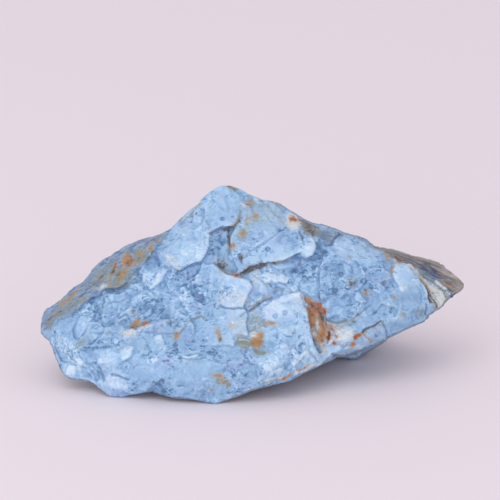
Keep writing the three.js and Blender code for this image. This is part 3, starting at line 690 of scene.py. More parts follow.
# Small stains by colour: x, y, rx, ry, angle, strength.
STAINS = {
    "ochre": [
        (150, 248, 2.5, 3.5, 0, 0.8), (156, 240, 5, 2, -20, 0.6), (71, 297, 9, 1.8, -48, 0.95),
        (62, 303, 5, 1.5, -40, 0.7), (82, 299, 2.5, 1.2, -20, 0.8), (54, 314, 5, 1.6, -40, 0.6),
        (100, 279, 2.4, 1.6, -40, 0.7), (134, 313, 4, 1.4, 0, 0.25), (177, 335, 3, 4.5, 10, 0.7),
        (218, 376, 5, 2.6, 20, 0.95), (223, 382, 4, 2, 30, 0.85), (211, 391, 2, 1.6, 0, 0.8),
        (218, 334, 2.6, 6, -20, 0.95), (232, 327, 4, 2.4, 10, 0.8), (236, 297, 3, 1, 0, 0.5),
        (250, 204, 2.6, 2.2, 20, 0.9), (256, 217, 2.4, 4, -30, 0.6), (243, 234, 3, 3, 0, 0.8),
        (233, 246, 3, 3.4, 0, 0.9), (276, 204.5, 3, 1.2, 30, 0.6), (231, 189, 2, 1.4, 15, 0.6),
        (200, 204, 1.4, 1.4, 0, 0.6), (270, 324, 8, 2.4, 10, 0.75), (393, 266, 1.8, 6, 20, 0.8),
        (405, 263.5, 8, 1.2, 12, 0.6), (426, 285, 1.6, 5.5, -35, 0.75), (394, 298, 2, 2, 0, 0.9),
        (367, 293, 3.4, 2.6, -30, 1), (340, 326, 6, 1.4, 20, 0.5), (240, 335, 3, 1.4, 0, 0.4),
        (385, 254, 4, 1.2, 20, 0.5), (354, 346, 2.5, 2, 0, 0.7), (168, 321, 1.6, 1.4, 0, 0.4),
        (330, 334, 3, 4, 0, 0.6), (282, 222, 4, 1, 40, 0.35), (248, 222, 3, 4, 0, 0.4),
    ],
    "rust": [
        (126, 262, 3.2, 4.2, -40, 0.8), (114, 266, 2.2, 4, 20, 0.75), (285, 378, 6, 1.4, -12, 0.85),
        (303, 370, 4.5, 1.3, -25, 0.8), (334.5, 343, 2.8, 2.2, 30, 1), (355, 345, 2.4, 2.2, 0, 0.75),
        (302, 219, 2.6, 1.6, 20, 0.8), (236, 273.5, 4, 0.9, 5, 0.6), (398, 258.5, 3.5, 1.8, 30, 0.75),
        (231, 246, 1.6, 1.8, 0, 0.5),
    ],
    "brown": [
        (241, 258, 2.2, 3.2, 0, 0.8), (113, 269, 2, 6, 25, 0.8), (118, 276, 1.6, 4, 10, 0.5),
        (137, 259, 2, 3, 30, 0.6), (129, 262, 2, 4, 30, 0.5), (272, 263, 8, 1.4, -6, 0.7),
        (229, 240, 1.3, 7, 0, 0.7), (354, 322, 2.4, 1.4, 0, 0.9), (358, 315, 2, 1.6, 0, 0.8),
        (220, 340, 1.6, 2.4, 0, 0.9), (352, 282, 4, 4, 0, 0.45), (210.5, 233, 2.5, 1.4, -40, 0.7),
        (227, 229, 6, 2, -10, 0.6), (240, 220, 1.5, 3, 20, 0.5), (384, 283, 1.2, 2.2, 10, 0.6),
        (366, 290, 2, 1.5, 0, 0.8), (134, 327, 5, 1.6, -10, 0.6), (305, 218, 3, 2, 0, 0.7),
        (229, 187, 2.4, 1.4, 20, 0.8), (233, 190, 2.4, 1.2, 20, 0.6), (247, 205, 3.6, 0.9, 35, 0.5),
        (304, 220, 2, 1.4, 30, 0.9), (310, 224, 2, 2, 0, 0.9), (309, 230, 2.6, 1.6, 30, 1),
        (315, 233, 2.4, 1.6, 0, 0.9), (222, 264, 5, 7, -20, 0.75),
    ],
    "cream": [
        (144, 326, 6.5, 1.2, -25, 1), (244, 204.5, 4, 2, 20, 0.85), (173, 262, 8, 4.5, 45, 0.55),
        (317, 325, 1.6, 6.5, -6, 1), (314, 333, 2.2, 4.5, -20, 0.9), (406, 265, 8, 1.4, 20, 0.6),
        (300, 293.5, 4, 1.2, 0, 0.7), (256, 280, 4, 5, 0, 0.4), (149, 254, 1.3, 1.6, 0, 0.9),
        (232, 300, 12, 6, 0, 0.35), (238, 324, 8, 8, 0, 0.35), (198, 275.5, 1.3, 1.3, 0, 1.3),
        (184.5, 235, 1.3, 1.6, 0, 0.9), (326, 350, 5, 8, 0, 0.55), (253, 335, 4, 2, 0, 0.8),
        (361.5, 301.5, 1, 1, 0, 1.2), (310, 370, 8, 1, -25, 0.6), (275, 379, 8, 1.2, -15, 0.6),
    ],
    "green": [
        (228, 387, 2.5, 3, 0, 0.7), (255, 325, 7, 12, 0, 0.6), (250, 204, 6, 5, 20, 0.9),
        (262, 214, 12, 8, 30, 0.1), (255, 218, 5, 6, -20, 0.5), (243, 234, 6, 6, 0, 0.5),
        (231, 247, 4, 5, 0, 0.5), (331, 235, 4, 6, 10, 0.35), (109, 332, 1.6, 1.6, 0, 0.7),
        (155, 326, 2, 1.2, 0, 0.6), (162, 326, 1.6, 1, 0, 0.6), (201, 317, 5, 1.6, 0, 0.6),
        (66, 308, 14, 5, -35, 0.5), (100, 275, 16, 6, -40, 0.45), (120, 283, 8, 5, 0, 0.6),
        (423, 313, 4, 5, 0, 0.5), (330, 328, 3, 4, 0, 0.4), (392, 251, 8, 2, 15, 0.5),
        (80, 344, 7, 3, -40, 0.5), (220, 380, 7, 5, 30, 0.6), (48, 326, 5, 4, -40, 0.8),
        (420, 275, 2, 3, 0, 0.3), (404, 315, 3.5, 2.5, 0, 0.5), (350, 257, 3, 2, 0, 0.4),
    ],
}

# Where the surface is granular rather than smooth: outline, strength, softness px.
ROUGH = [
    ([(80, 300), (105, 285), (145, 262), (170, 262), (200, 285), (204, 320), (180, 335), (140, 335),
      (90, 335), (75, 318)], 1, 10),
    ([(250, 270), (300, 255), (330, 242), (345, 262), (340, 300), (319, 300), (300, 292), (255, 300)],
      1, 6),
    ([(322, 262), (350, 256), (385, 262), (400, 295), (390, 320), (330, 320), (320, 300)], 0.6, 8),
    ([(55, 340), (110, 340), (115, 375), (100, 390), (60, 375)], 0.6, 8),
    ([(250, 340), (300, 340), (324, 360), (290, 384), (240, 396), (235, 370)], 0.6, 8),
    ([(160, 215), (200, 205), (206, 230), (190, 240), (165, 250)], 0.4, 8),
    ([(300, 225), (330, 228), (340, 240), (318, 250), (300, 240)], 0.6, 6),
]

# How mottled the opal is: x, y, rx, ry, angle, from -1 for plain to 1 for full of marks.
MOTTLED = [
    (225, 206, 16, 12, 0, -0.8), (268, 217, 12, 9, 30, -0.8), (182, 246, 13, 10, 0, -0.7),
    (285, 252, 16, 6, -15, -0.8), (278, 240, 17, 8, -28, -1), (148, 371, 20, 8, 0, -1),
    (196, 374, 22, 13, 0, -1), (350, 250, 14, 8, 0, -0.7), (340, 303, 11, 11, 0, -0.8),
    (408, 302, 15, 18, 0, -0.8), (405, 276, 11, 10, 0, -0.9), (278, 312, 14, 8, 0, -0.7),
    (240, 285, 9, 9, 0, -0.8), (172, 306, 10, 8, 0, -0.9), (150, 262, 7, 6, 0, -0.8),
    (85, 362, 9, 7, 0, -0.8), (262, 216, 14, 10, 40, -0.6), (240, 268, 9, 6, 0, -0.5),
    (375, 300, 9, 9, 0, -0.6), (130, 340, 12, 5, 0, -0.8), (218, 245, 12, 20, 0, 1),
    (188, 274, 18, 10, 0, 1), (225, 293, 12, 9, 0, 0.6), (150, 390, 40, 8, 0, 0.8),
    (215, 355, 30, 8, 10, 0.8), (245, 372, 26, 12, -20, 0.9), (290, 345, 16, 18, 0, 0.5),
    (300, 278, 16, 12, 0, 0.6), (372, 266, 18, 10, 0, 0.8), (345, 285, 18, 12, 0, 0.8),
    (195, 295, 14, 16, 0, 0.8), (155, 300, 18, 10, 0, 0.6), (115, 340, 20, 8, 0, 0.3),
    (192, 218, 12, 12, -40, 0.7), (325, 245, 9, 16, 10, 0.7), (165, 355, 24, 8, 0, 0.7),
    (75, 350, 16, 10, 30, 0.6),
]

WING_TOP = [
    (378, 246), (392, 248), (405, 252), (420, 256), (435, 260), (447, 267), (458, 277), (464, 286),
]
WING_ROOT = (385, 249)  # where the wing's streaks fan out from

WING = [
    (374, 240), (395, 238), (420, 246), (445, 254), (476, 286), (452, 306), (437, 314), (433, 302),
    (426, 287), (418, 272), (408, 264), (398, 261), (390, 257), (382, 252), (375, 247),
]

# ---- The stone's surface ----

VOXEL = 0.2  # mm
SOFTEN_ROUNDS = 5
NORMAL_ROUNDS = 6
BROAD_ROUNDS = 60
FILL_ROUNDS = 4
FOLD = 0.09  # mm a vertex may stand off the middle of its neighbours
FOLD_ROUNDS = 10
MAX_TRIANGLES = 190000
TOLERANCE = 0.02  # mm, how far inside the CAD box the surface is kept
END_FADE = 0.12  # share of a broken edge's length over which it dies away at each end

# The outline is fitted in this many directions round a point inside it. The stretch sets in between two
# shares of the way out, and is never more than a small share of it.
RIM_CENTRE = np.array([250.0, 300.0])  # px
RIM_SLOTS = 720
RIM_START, RIM_FULL = 0.55, 0.98
RIM_STRETCH = 0.08
RIM_BLUR = np.array([1, 2, 3, 2, 1]) / 9

BROAD_SHAKE, FINE_SHAKE = 0.8, 1.1  # px that drawn places are moved by
EDGE_WIDTH = 0.7  # px to either side of a path over which a broken edge steps up
CRACK_BLUR = 0.3  # px
SWELL_SPREAD = 1.25  # how many times its ellipse in the list a swell is drawn
GRAIN_FLOOR = 0.22  # how granular the plainest parts of the front are
HIDDEN_GRAIN = 0.6  # and what the photo doesn't show

# Shell-shaped scars: how many, smallest and largest radius mm, depth mm, seed.
BROAD_SCARS = (260, 2.0, 7.0, 0.9, SEED + 1)
SMALL_SCARS = (420, 0.6, 2.6, 0.2, SEED + 2)

# Flakes: mm apart, noise offset, and how many mm their hollow, slope and own level make in height.
FLAKES = [(2.6, 4.0, 0.09, 0.34, 0.05), (1.2, 9.0, 0.05, 0.10, 0.02)]
FLAKE_EVEN = 0.35  # the hollow that leaves the surface where it was

# Noises: size mm, octaves, offset and how rough
RIND_NOISE = (15.0, 4, 77.7, 0.45)
CREASE_NOISE = (8.0, 3, 91.0)
WAVE_NOISE = (5.0, 2, 5.5)
GRAIN_NOISE = (0.9, 3, 8.8, 0.65)
FAN_NOISE = (1.6, 3, 1.6, 0.6)  # its size in streaks
STRIPE_NOISE = (3.2, 0.55, 6.6)  # mm along the stripes and across them, offset

# Heights and depths, mm
RING_DEPTH = 0.1
RIND_RISE = 0.4
CREASE_DEPTH = 0.2
WAVE_HEIGHT = 0.10
GRAIN_HEIGHT = 0.05
STRIPE_HEIGHT = 0.08
FAN_HEIGHT = 0.20

# Degrees that the grain of each kind of mark rises to the right
RIND_GRAIN = 50
VEIN_GRAIN = -62
STROKE_GRAIN = 25
FLAKE_GRAIN = -35
FAN_DEGREES, FAN_LENGTH = 2.6, 32  # degrees between the wing's streaks, and their length in px


def new_object(name, mesh):
    made = bpy.data.objects.new(name, mesh)
    bpy.context.scene.collection.objects.link(made)
    return made


def applied(obj):
    """Replaces an object's mesh by what its modifiers make of it."""
    graph = bpy.context.evaluated_depsgraph_get()
    mesh = bpy.data.meshes.new_from_object(obj.evaluated_get(graph))
    obj.modifiers.clear()
    old = obj.data
    obj.data = mesh
    bpy.data.meshes.remove(old)


def read(items, key, width, kind):
    """One value of every item of a mesh, a row each."""
    data = np.empty(len(items) * width, kind)
    items.foreach_get(key, data)
    return data.reshape(-1, width)


def places_of(mesh):
    return read(mesh.vertices, "co", 3, np.float32).astype(float) / MM


def normals_of(mesh):
    return read(mesh.vertex_normals, "vector", 3, np.float32).astype(float)


def edges_of(mesh):
    return read(mesh.edges, "vertices", 2, np.int32)


def write(mesh, points):
    mesh.vertices.foreach_set("co", (points * MM).astype(np.float32).ravel())
    mesh.update()


def keep_main_body(mesh):
    """Deletes any bubble that the remesh left inside the stone."""
    edges = edges_of(mesh)
    label = np.arange(len(mesh.vertices))
    while True:
        lowest = np.minimum(label[edges[:, 0]], label[edges[:, 1]])
        joined = label.copy()
        np.minimum.at(joined, edges[:, 0], lowest)
        np.minimum.at(joined, edges[:, 1], lowest)
        joined = joined[joined]
        if (joined == label).all():
            break
        label = joined
    names, sizes = np.unique(label, return_counts=True)
    strays = np.where(label != names[sizes.argmax()])[0]
    if len(strays):
        body = bmesh.new()
        body.from_mesh(mesh)
        body.verts.ensure_lookup_table()
        bmesh.ops.delete(body, geom=[body.verts[i] for i in strays], context="VERTS")
        body.to_mesh(mesh)
        body.free()


def spread(values, edges, rounds, strength=0.5):
    """Averages values, one row per vertex, over neighbouring vertices."""
    values = np.array(values, float)
    flat = values.ndim == 1
    if flat:
        values = values[:, None]
    count = np.bincount(edges.ravel(), minlength=len(values))[:, None]
    for _ in range(rounds):
        total = np.empty_like(values)
        for c in range(values.shape[1]):
            total[:, c] = np.bincount(edges[:, 0], values[edges[:, 1], c], len(values))
            total[:, c] += np.bincount(edges[:, 1], values[edges[:, 0], c], len(values))
        values += strength * (total / count - values)
    return values[:, 0] if flat else values


def without_folds(points, edges):
    """Eases only the places where the surface folds over itself."""
    for _ in range(FOLD_ROUNDS):
        eased = spread(points, edges, 1, 1.0)
        folded = np.linalg.norm(points - eased, axis=1) > FOLD
        points = np.where(folded[:, None], eased, points)
    return points


def drawn_reach(angles):
    """How far out the drawn outline is in each direction from the centre, px."""
    ring = np.array(OUTLINE + OUTLINE[:1]) - RIM_CENTRE
    reach = np.zeros(len(angles))
    rounding = 1e-9
    for i, angle in enumerate(angles):
        ray = np.array([math.cos(angle), math.sin(angle)])
        for p, q in zip(ring[:-1], ring[1:]):
            e = q - p
            det = ray[0] * -e[1] + ray[1] * e[0]
            if abs(det) > rounding:
                r = (p[0] * -e[1] + p[1] * e[0]) / det
                s = (ray[0] * p[1] - ray[1] * p[0]) / det
                if r > 0 and -rounding <= s <= 1 + rounding:
                    reach[i] = max(reach[i], r)
    return reach


def fitted_to_outline(points):
    """Stretches the stone slightly, square to the view, so that its outline is the drawn one."""
    rel = in_picture(points) - RIM_CENTRE
    angle = np.arctan2(rel[:, 1], rel[:, 0])
    radius = np.hypot(rel[:, 0], rel[:, 1])
    slot = ((angle + math.pi) / (2 * math.pi) * RIM_SLOTS).astype(int) % RIM_SLOTS
    reach = np.zeros(RIM_SLOTS)
    np.maximum.at(reach, slot, radius)
    directions = (np.arange(RIM_SLOTS) + 0.5) / RIM_SLOTS * 2 * math.pi - math.pi
    ratio = drawn_reach(directions) / reach
    ratio = np.convolve(np.concatenate([ratio[-2:], ratio, ratio[:2]]), RIM_BLUR, "valid")
    here = np.interp(angle, directions, ratio, period=2 * math.pi)
    near_rim = smooth(RIM_START, RIM_FULL, radius / reach[slot])
    factor = np.clip(here - 1, -RIM_STRETCH, RIM_STRETCH) * near_rim
    return points + from_picture(rel * factor[:, None], points)


def jittered(pixels, points):
    """Picture places moved by a pixel or so, so that drawn lines come out uneven as broken ones are."""
    broad = np.stack([noise(points, 2.6, 9.4), noise(points, 2.6, 73.2)], 1)
    fine = np.stack([layers(points, 1.0, 2, 3.1), layers(points, 1.0, 2, 41.7)], 1)
    return pixels + BROAD_SHAKE * broad + FINE_SHAKE * fine


def tapered(where):
    """1 along the middle of a path, 0 at its ends."""
    return smooth(0, END_FADE, where) * smooth(1, 1 - END_FADE, where)


def front_relief(pixels, drawn):
    """Height in mm of what is drawn on the front."""
    height = np.zeros(len(pixels))
    for path, rise, fade, drop, drop_fade, _, _ in STEPS:
        d, side, where = along(drawn, path)
        signed = d * side
        up = rise * np.exp(-np.clip(signed, 0, None) / fade) * smooth(-EDGE_WIDTH, EDGE_WIDTH, signed)
        down = drop * np.exp(np.clip(signed, None, 0) / drop_fade)
        down = down * smooth(EDGE_WIDTH, -EDGE_WIDTH, signed)
        height += np.where(side != 0, tapered(where) * (up - down), 0)
    for path, half, depth, _ in CRACKS_AND_SHADE_LINES:
        height -= depth * bell(along(drawn, path)[0], half + CRACK_BLUR)
    for path, half, rise, _ in STREAKS:
        height += rise * bell(along(drawn, path)[0], half)
    for x, y, r, dark in RINGS:
        d = np.hypot(pixels[:, 0] - x, pixels[:, 1] - y)
        height -= RING_DEPTH * dark * smooth(1.2 * r, 0.7 * r, d)
    for x, y, rx, ry, angle, rise in SWELLS:
        share = blob(drawn, x, y, rx * SWELL_SPREAD, ry * SWELL_SPREAD, angle)
        height += rise * smooth(0, 1, share)
    return height


def filling(pixels, points):
    """How far in mm the hollows are brought towards the viewer."""
    level = (points - AIM) @ OUT
    rise = np.zeros(len(pixels))
    for outline, rim_top, rim_foot, kept, soft in FILLS:
        heights = [y for _, y in outline]
        rim = np.interp(pixels[:, 1], (min(heights), max(heights)), (rim_top, rim_foot))
        depth = np.clip(rim - level, 0, None)
        rise += (1 - kept) * depth * zone(pixels, outline, soft)
    return rise


def pulled(points):
    """Drags part of the front sideways, square to the view."""
    share = smooth(0, 1, blob(in_picture(points), *PULLED_PLACE))
    return points + from_picture(share[:, None] * np.array(PULLED_BY, float), points)


def rough_share(pixels):
    share = np.full(len(pixels), GRAIN_FLOOR)
    for outline, strength, soft in ROUGH:
        share = np.maximum(share, strength * zone(pixels, outline, soft))
    return share


def fanned(pixels):
    """Places on the wing, across its streaks and along them, for noise of about size 1."""
    x, y = (pixels - WING_ROOT).T
    return np.degrees(np.arctan2(y, x)) / FAN_DEGREES, np.hypot(x, y) / FAN_LENGTH


def rind_cover(points, normals, front, drawn):
    """1 where the weathered skin is left on the stone, 0 where it has broken off."""
    on_front = smooth(-2, 2.5, within(drawn, RIND))
    patchy = layers(points, *RIND_NOISE) + 0.22 + 0.2 * np.clip(-normals[:, 1], -1, 0)
    on_back = smooth(-0.02, 0.02, patchy)
    return front * on_front + (1 - front) * on_back


stone = new_object("rough_opal_surface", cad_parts["rough_opal"].data.copy())
remesh = stone.modifiers.new("voxels", "REMESH")
remesh.mode = "VOXEL"
remesh.voxel_size = VOXEL * MM
applied(stone)

mesh = stone.data
keep_main_body(mesh)
edges = edges_of(mesh)
points = spread(places_of(mesh), edges, SOFTEN_ROUNDS)
points = pulled(fitted_to_outline(points))
write(mesh, points)
normals = spread(normals_of(mesh), edges, NORMAL_ROUNDS)
normals /= np.linalg.norm(normals, axis=1, keepdims=True)

# How squarely each vertex faces the camera, and shares from 0 to 1: inside the drawn outline, on the
# broken front, hidden from the photo, granular, under rind, on the wing and along a healed crack.
pixels = in_picture(points)
facing = spread(normals @ OUT, edges, BROAD_ROUNDS)
inside = smooth(4, 14, within(pixels, OUTLINE, 500))
front = smooth(0.02, 0.3, facing + 0.5 * inside * smooth(-0.2, 0.1, facing))
hidden = 1 - front
drawn = jittered(pixels, points)
rough = front * rough_share(pixels) + hidden * HIDDEN_GRAIN
rind = rind_cover(points, normals, front, drawn)
wing = smooth(-0.5, -0.1, facing) * smooth(-1.5, 1.5, within(drawn, WING))
creased = smooth(0.05, 0.0, np.abs(layers(points, *CREASE_NOISE)))
creased = creased * smooth(0.0, 0.15, noise(points, 10.0, 14.0)) * hidden
fan, fan_reach = fanned(pixels)
fan_place = np.stack([fan, fan_reach, 0 * fan], 1)
flakes = [flaked(points, size, offset) for size, offset, _, _, _ in FLAKES]

height = front * front_relief(pixels, drawn)
height += hidden * inside * (1 - rind) * scallops(points, *BROAD_SCARS)
height += hidden * RIND_RISE * rind
height -= CREASE_DEPTH * creased
height += (0.3 + 0.7 * hidden * inside) * scallops(points, *SMALL_SCARS)
height += WAVE_HEIGHT * layers(points, *WAVE_NOISE)
for (hollow, slope, own), (_, _, dip, tilt, level) in zip(flakes, FLAKES):
    height += rough * (dip * (hollow - FLAKE_EVEN) + tilt * slope + level * own)
height += (0.35 + rough) * GRAIN_HEIGHT * layers(points, *GRAIN_NOISE)
height += (1 - wing) * rind * STRIPE_HEIGHT * streaked(points, RIND_GRAIN, *STRIPE_NOISE)
height += wing * FAN_HEIGHT * layers(fan_place, *FAN_NOISE)
filled = spread(front * filling(drawn, points), edges, FILL_ROUNDS)
points = points + height[:, None] * normals + filled[:, None] * OUT
points = fitted_to_outline(without_folds(points, edges))
write(mesh, points)

# ---- Paint: smooth fields per vertex, which the material breaks up with noise ----

# How strongly each thing moves the tone, which is 0.5 for the middle blue.
HIDDEN_CLOUDS, HIDDEN_CLOUD_NOISE = 0.2, (9.0, 2, 6.1)
SOFT_CLOUDS, SOFT_CLOUD_NOISE = 0.05, (3.5, 2, 12.3)
FLAKE_OWN, FLAKE_SLOPE_SHADE, SMALL_FLAKE_OWN = 0.10, 0.14, 0.07
# how strongly the painted highlight on standing-out rims and painted shade in hollows move the tone
HUMP_HIGHLIGHT_AND_SHADE = 0.10
HUMP = 0.02  # mm that a vertex stands out when it counts as one full hump
HUMP_MOST = 1.2  # the most humps that count
RING_TONE, RING_FLOOR_TONE = 0.40, 0.26

# Bubble rings: how much they are flattened, px that their line shakes, the share of the radius at which
# it runs, its half width px, and the share of the radius that the dark floor fills.
RING_FLATTENING, RING_SHAKE = 1.15, 0.9
RING_LINE, RING_LINE_WIDTH, RING_FLOOR = 0.8, 0.9, 0.6

CREASE_DARK = 0.7
EDGE_SHADOW_MOST = 0.45  # the most that the painted shadow line in front of a broken edge darkens
EDGE_SHADOW_LINE, EDGE_SHADOW_WIDTH = 0.8, 0.9  # px that the painted shadow line lies in front of the edge, and its half width
CRACK_SHADE_BLUR = 0.35  # px

# Each stain field runs from NO_STAIN up; the material shows the stain's full colour from about 1.
NO_STAIN = -3.0
STAIN_SPREAD = 1.15  # how many times its ellipse in the list a stain is drawn
STAIN_RISE = 1.5  # from a stain's rim to its middle, up to its strength
PATCH_RIM, PATCH_MOST = 0.3, 1.5  # on a patch's outline, and inside it at strength 1
LINE_MOST, LINE_FALL = 1.2, 0.9  # on a line at strength 1, and how much less a half width away
GAPS = 0.5  # how strongly stained lines come and go

# Stains on the sides that the photo doesn't show: colour, patch size mm, noise offset, contrast, how
# rare, and how much of it there is anywhere and on the rind.
WEATHERING = [
    ("ochre", 6.0, 33.3, 2.6, 0.22, 0.3, 1.0),
    ("brown", 4.0, 55.1, 2.6, 0.40, 1.0, 0.0),
    ("cream", 5.0, 71.9, 2.4, 0.34, 1.0, 0.0),
]
WING_DEPTH = 26  # px from the wing's top edge to where WING_TONES would reach 1
THIN_LEVELS = 10

tone = np.full(len(points), 0.5)
for outline, change, soft in TONES:
    tone += front * change * zone(drawn, outline, soft)
tone += hidden * HIDDEN_CLOUDS * layers(points, *HIDDEN_CLOUD_NOISE)
tone += SOFT_CLOUDS * layers(points, *SOFT_CLOUD_NOISE)
(_, slope, own), (_, _, small_own) = flakes
# Each flake gets a tone of its own, plus painted shade across it: paler where its tilt raises it and
# darker where it sinks.
tone += rough * (FLAKE_OWN * own + FLAKE_SLOPE_SHADE * slope + SMALL_FLAKE_OWN * small_own)

dark = CREASE_DARK * creased
# Painted highlight along the raised side of each broken edge, and a painted shadow line just in front of
# it, as dark as the step is tall.
for path, rise, _, drop, _, rim_highlight, rim_highlight_fade in STEPS:
    d, side, where = along(drawn, path, 60)
    ends = front * tapered(where)
    tone += ends * rim_highlight * np.exp(-d / rim_highlight_fade) * (side > 0)
    shadow_line = bell(d * side + EDGE_SHADOW_LINE, EDGE_SHADOW_WIDTH)
    dark = np.maximum(dark, min(EDGE_SHADOW_MOST, rise + drop) * ends * shadow_line)

# Painted highlight and shade: where the surface stands out from its neighbours it is painted paler, and
# in hollows darker.
hump = ((points - spread(points, edges, 3, 0.9)) * normals_of(mesh)).sum(1)
hump = spread(hump, edges, 1) / HUMP
tone += HUMP_HIGHLIGHT_AND_SHADE * np.clip(hump, -HUMP_MOST, HUMP_MOST)

# Cracks are darkened: partly their own colour and partly painted shade in the groove and under
# overhanging edges.
for path, half, _, strength in CRACKS_AND_SHADE_LINES:
    dark = np.maximum(dark, front * strength * bell(along(drawn, path)[0], half + CRACK_SHADE_BLUR))
for x, y, r, strength in RINGS:
    d = np.hypot(pixels[:, 0] - x, RING_FLATTENING * (pixels[:, 1] - y))
    d += RING_SHAKE * noise(points, 0.5, 8.2)
    tone -= front * RING_TONE * strength * bell(d - RING_LINE * r, RING_LINE_WIDTH)
    tone -= front * RING_FLOOR_TONE * strength * smooth(r, RING_FLOOR * r, d)

# Painted highlights (glints) along the raised streaks.
painted_glint = np.zeros(len(points))
for path, half, _, strength in STREAKS:
    painted_glint = np.maximum(painted_glint, front * strength * bell(along(drawn, path)[0], half))

gaps = GAPS * noise(points, 1.1, 60.0)
stains = {}
for kind, marks in STAINS.items():
    field = np.full(len(points), NO_STAIN)
    for x, y, rx, ry, angle, strength in marks:
        share = blob(drawn, x, y, rx * STAIN_SPREAD, ry * STAIN_SPREAD, angle)
        field = np.maximum(field, np.minimum(strength, STAIN_RISE * share))
    for outline, soft, strength in PATCHES[kind]:
        rise = within(drawn, outline) / soft + PATCH_RIM
        field = np.maximum(field, np.minimum(PATCH_MOST * strength, rise))
    for path, half, strength in LINES[kind]:
        fall = LINE_FALL * along(drawn, path)[0] / half
        field = np.maximum(field, LINE_MOST * strength + gaps - fall)
    stains[kind] = np.where(front > 0.5, np.maximum(field, NO_STAIN), NO_STAIN)
for kind, size, offset, contrast, rarity, anywhere, on_rind in WEATHERING:
    patchy = contrast * (layers(points, size, 4, offset) - rarity)
    patchy = hidden * (anywhere + on_rind * rind) * patchy
    stains[kind] = np.maximum(stains[kind], patchy + NO_STAIN * front)

mottled = np.zeros(len(points))
for x, y, rx, ry, angle, amount in MOTTLED:
    share = front * smooth(-0.3, 0.5, blob(drawn, x, y, rx, ry, angle))
    mottled += share * (amount - mottled)

for name, values in {
    "tone": tone, "dark": dark, "painted_glint": painted_glint, "rind": rind, "rough": rough, "mottled": mottled,
    "wing": wing, "wing_depth": along(drawn, WING_TOP)[0] / WING_DEPTH, "fan": fan,
    "fan_reach": fan_reach, **stains,
}.items():
    layer = mesh.attributes.new(name, "FLOAT", "POINT")
    layer.data.foreach_set("value", np.asarray(values, np.float32))

# The mesh is thinned where the stone is plain and turned away, and left fine on the broken front.
group = stone.vertex_groups.new(name="thin")
levels = np.round(hidden * THIN_LEVELS).astype(int)
for level in range(1, THIN_LEVELS + 1):
    group.add(np.where(levels == level)[0].tolist(), level / THIN_LEVELS, "REPLACE")
stone.modifiers.new("triangles", "TRIANGULATE")
applied(stone)
thin = stone.modifiers.new("thin", "DECIMATE")
thin.ratio = min(1.0, MAX_TRIANGLES / len(stone.data.polygons))
thin.vertex_group = group.name
applied(stone)
stone.vertex_groups.clear()
mesh = stone.data

low = np.array(cad_low) / MM + TOLERANCE
high = np.array(cad_high) / MM - TOLERANCE
low[2] = 0.0
write(mesh, np.clip(places_of(mesh), low, high))
mesh.polygons.foreach_set("use_smooth", np.ones(len(mesh.polygons), bool))

# ---- Material ----


def linear(r, g, b):
    """A colour given as 0-255 sRGB, for a node."""
    def one(c):
        c /= 255
        return c / 12.92 if c <= 0.04045 else ((c + 0.055) / 1.055) ** 2.4
    return (one(r), one(g), one(b), 1.0)


MIX_A, MIX_B, MIX_RESULT = 6, 7, 2  # the Mix node's sockets for colours, by number


class Nodes:
    """Short calls that build one node tree."""

    def __init__(self, tree):
        self.tree = tree

    def add(self, kind, **settings):
        node = self.tree.nodes.new(kind)
        for key, value in settings.items():
            setattr(node, key, value)
        return node

    def put(self, socket, value):
        if isinstance(value, bpy.types.NodeSocket):
            self.tree.links.new(value, socket)
        else:
            socket.default_value = value

    def math(self, operation, a, b=None):
        node = self.add("ShaderNodeMath", operation=operation)
        for socket, value in zip(node.inputs, (a, b)):
            if value is not None:
                self.put(socket, value)
        return node.outputs[0]

    def total(self, first, *rest):
        for value in rest:
            first = self.math("ADD", first, value)
        return first

    def times(self, first, *rest):
        for value in rest:
            first = self.math("MULTIPLY", first, value)
        return first

    def step(self, value, low, high, to_low=0.0, to_high=1.0):
        """to_low where the value is at low, to_high where it is at high, with a smooth rise between."""
        node = self.add("ShaderNodeMapRange", interpolation_type="SMOOTHSTEP")
        for socket, v in zip(node.inputs, (value, low, high, to_low, to_high)):
            self.put(socket, v)
        return node.outputs[0]

    def mix(self, share, a, b):
        node = self.add("ShaderNodeMix", data_type="RGBA")
        self.put(node.inputs[0], share)
        self.put(node.inputs[MIX_A], a)
        self.put(node.inputs[MIX_B], b)
        return node.outputs[MIX_RESULT]

    def over(self, colour, share, rgb):
        """This share of another colour laid over a colour."""
        return self.mix(share, colour, linear(*rgb))

    def field(self, name):
        return self.add("ShaderNodeAttribute", attribute_name=name).outputs["Fac"]

    def noise(self, where, size, detail=3.0, roughness=0.55, distortion=0.0):
        """Noise around 0, mostly between -0.3 and 0.3."""
        node = self.add("ShaderNodeTexNoise")
        for socket, value in (
            ("Vector", where), ("Scale", 1.0 / size), ("Detail", detail), ("Roughness", roughness),
            ("Distortion", distortion),
        ):
            self.put(node.inputs[socket], value)
        return self.math("SUBTRACT", node.outputs["Fac"], 0.5)

    def moved(self, where, distance):
        """The same places elsewhere in the noise, so that two noises don't look alike."""
        node = self.add("ShaderNodeVectorMath", operation="ADD")
        self.put(node.inputs[0], where)
        node.inputs[1].default_value = (distance, 5.0, 2.0)
        return node.outputs[0]

    def stretched(self, where, degrees, length):
        """Places drawn out this many times along a direction that rises to the right."""
        node = self.add("ShaderNodeMapping", vector_type="TEXTURE")
        self.put(node.inputs["Vector"], where)
        node.inputs["Rotation"].default_value = (0, math.radians(-degrees), 0)
        node.inputs["Scale"].default_value = (length, 1.0, 1.0)
        return node.outputs[0]

    def ramp(self, value, stops):
        node = self.add("ShaderNodeValToRGB")
        self.put(node.inputs[0], value)
        elements = node.color_ramp.elements
        while len(elements) < len(stops):
            elements.new(0.5)
        for element, (at, colour) in zip(elements, stops):
            element.position = at
            element.color = linear(*colour)
        return node.outputs[0]


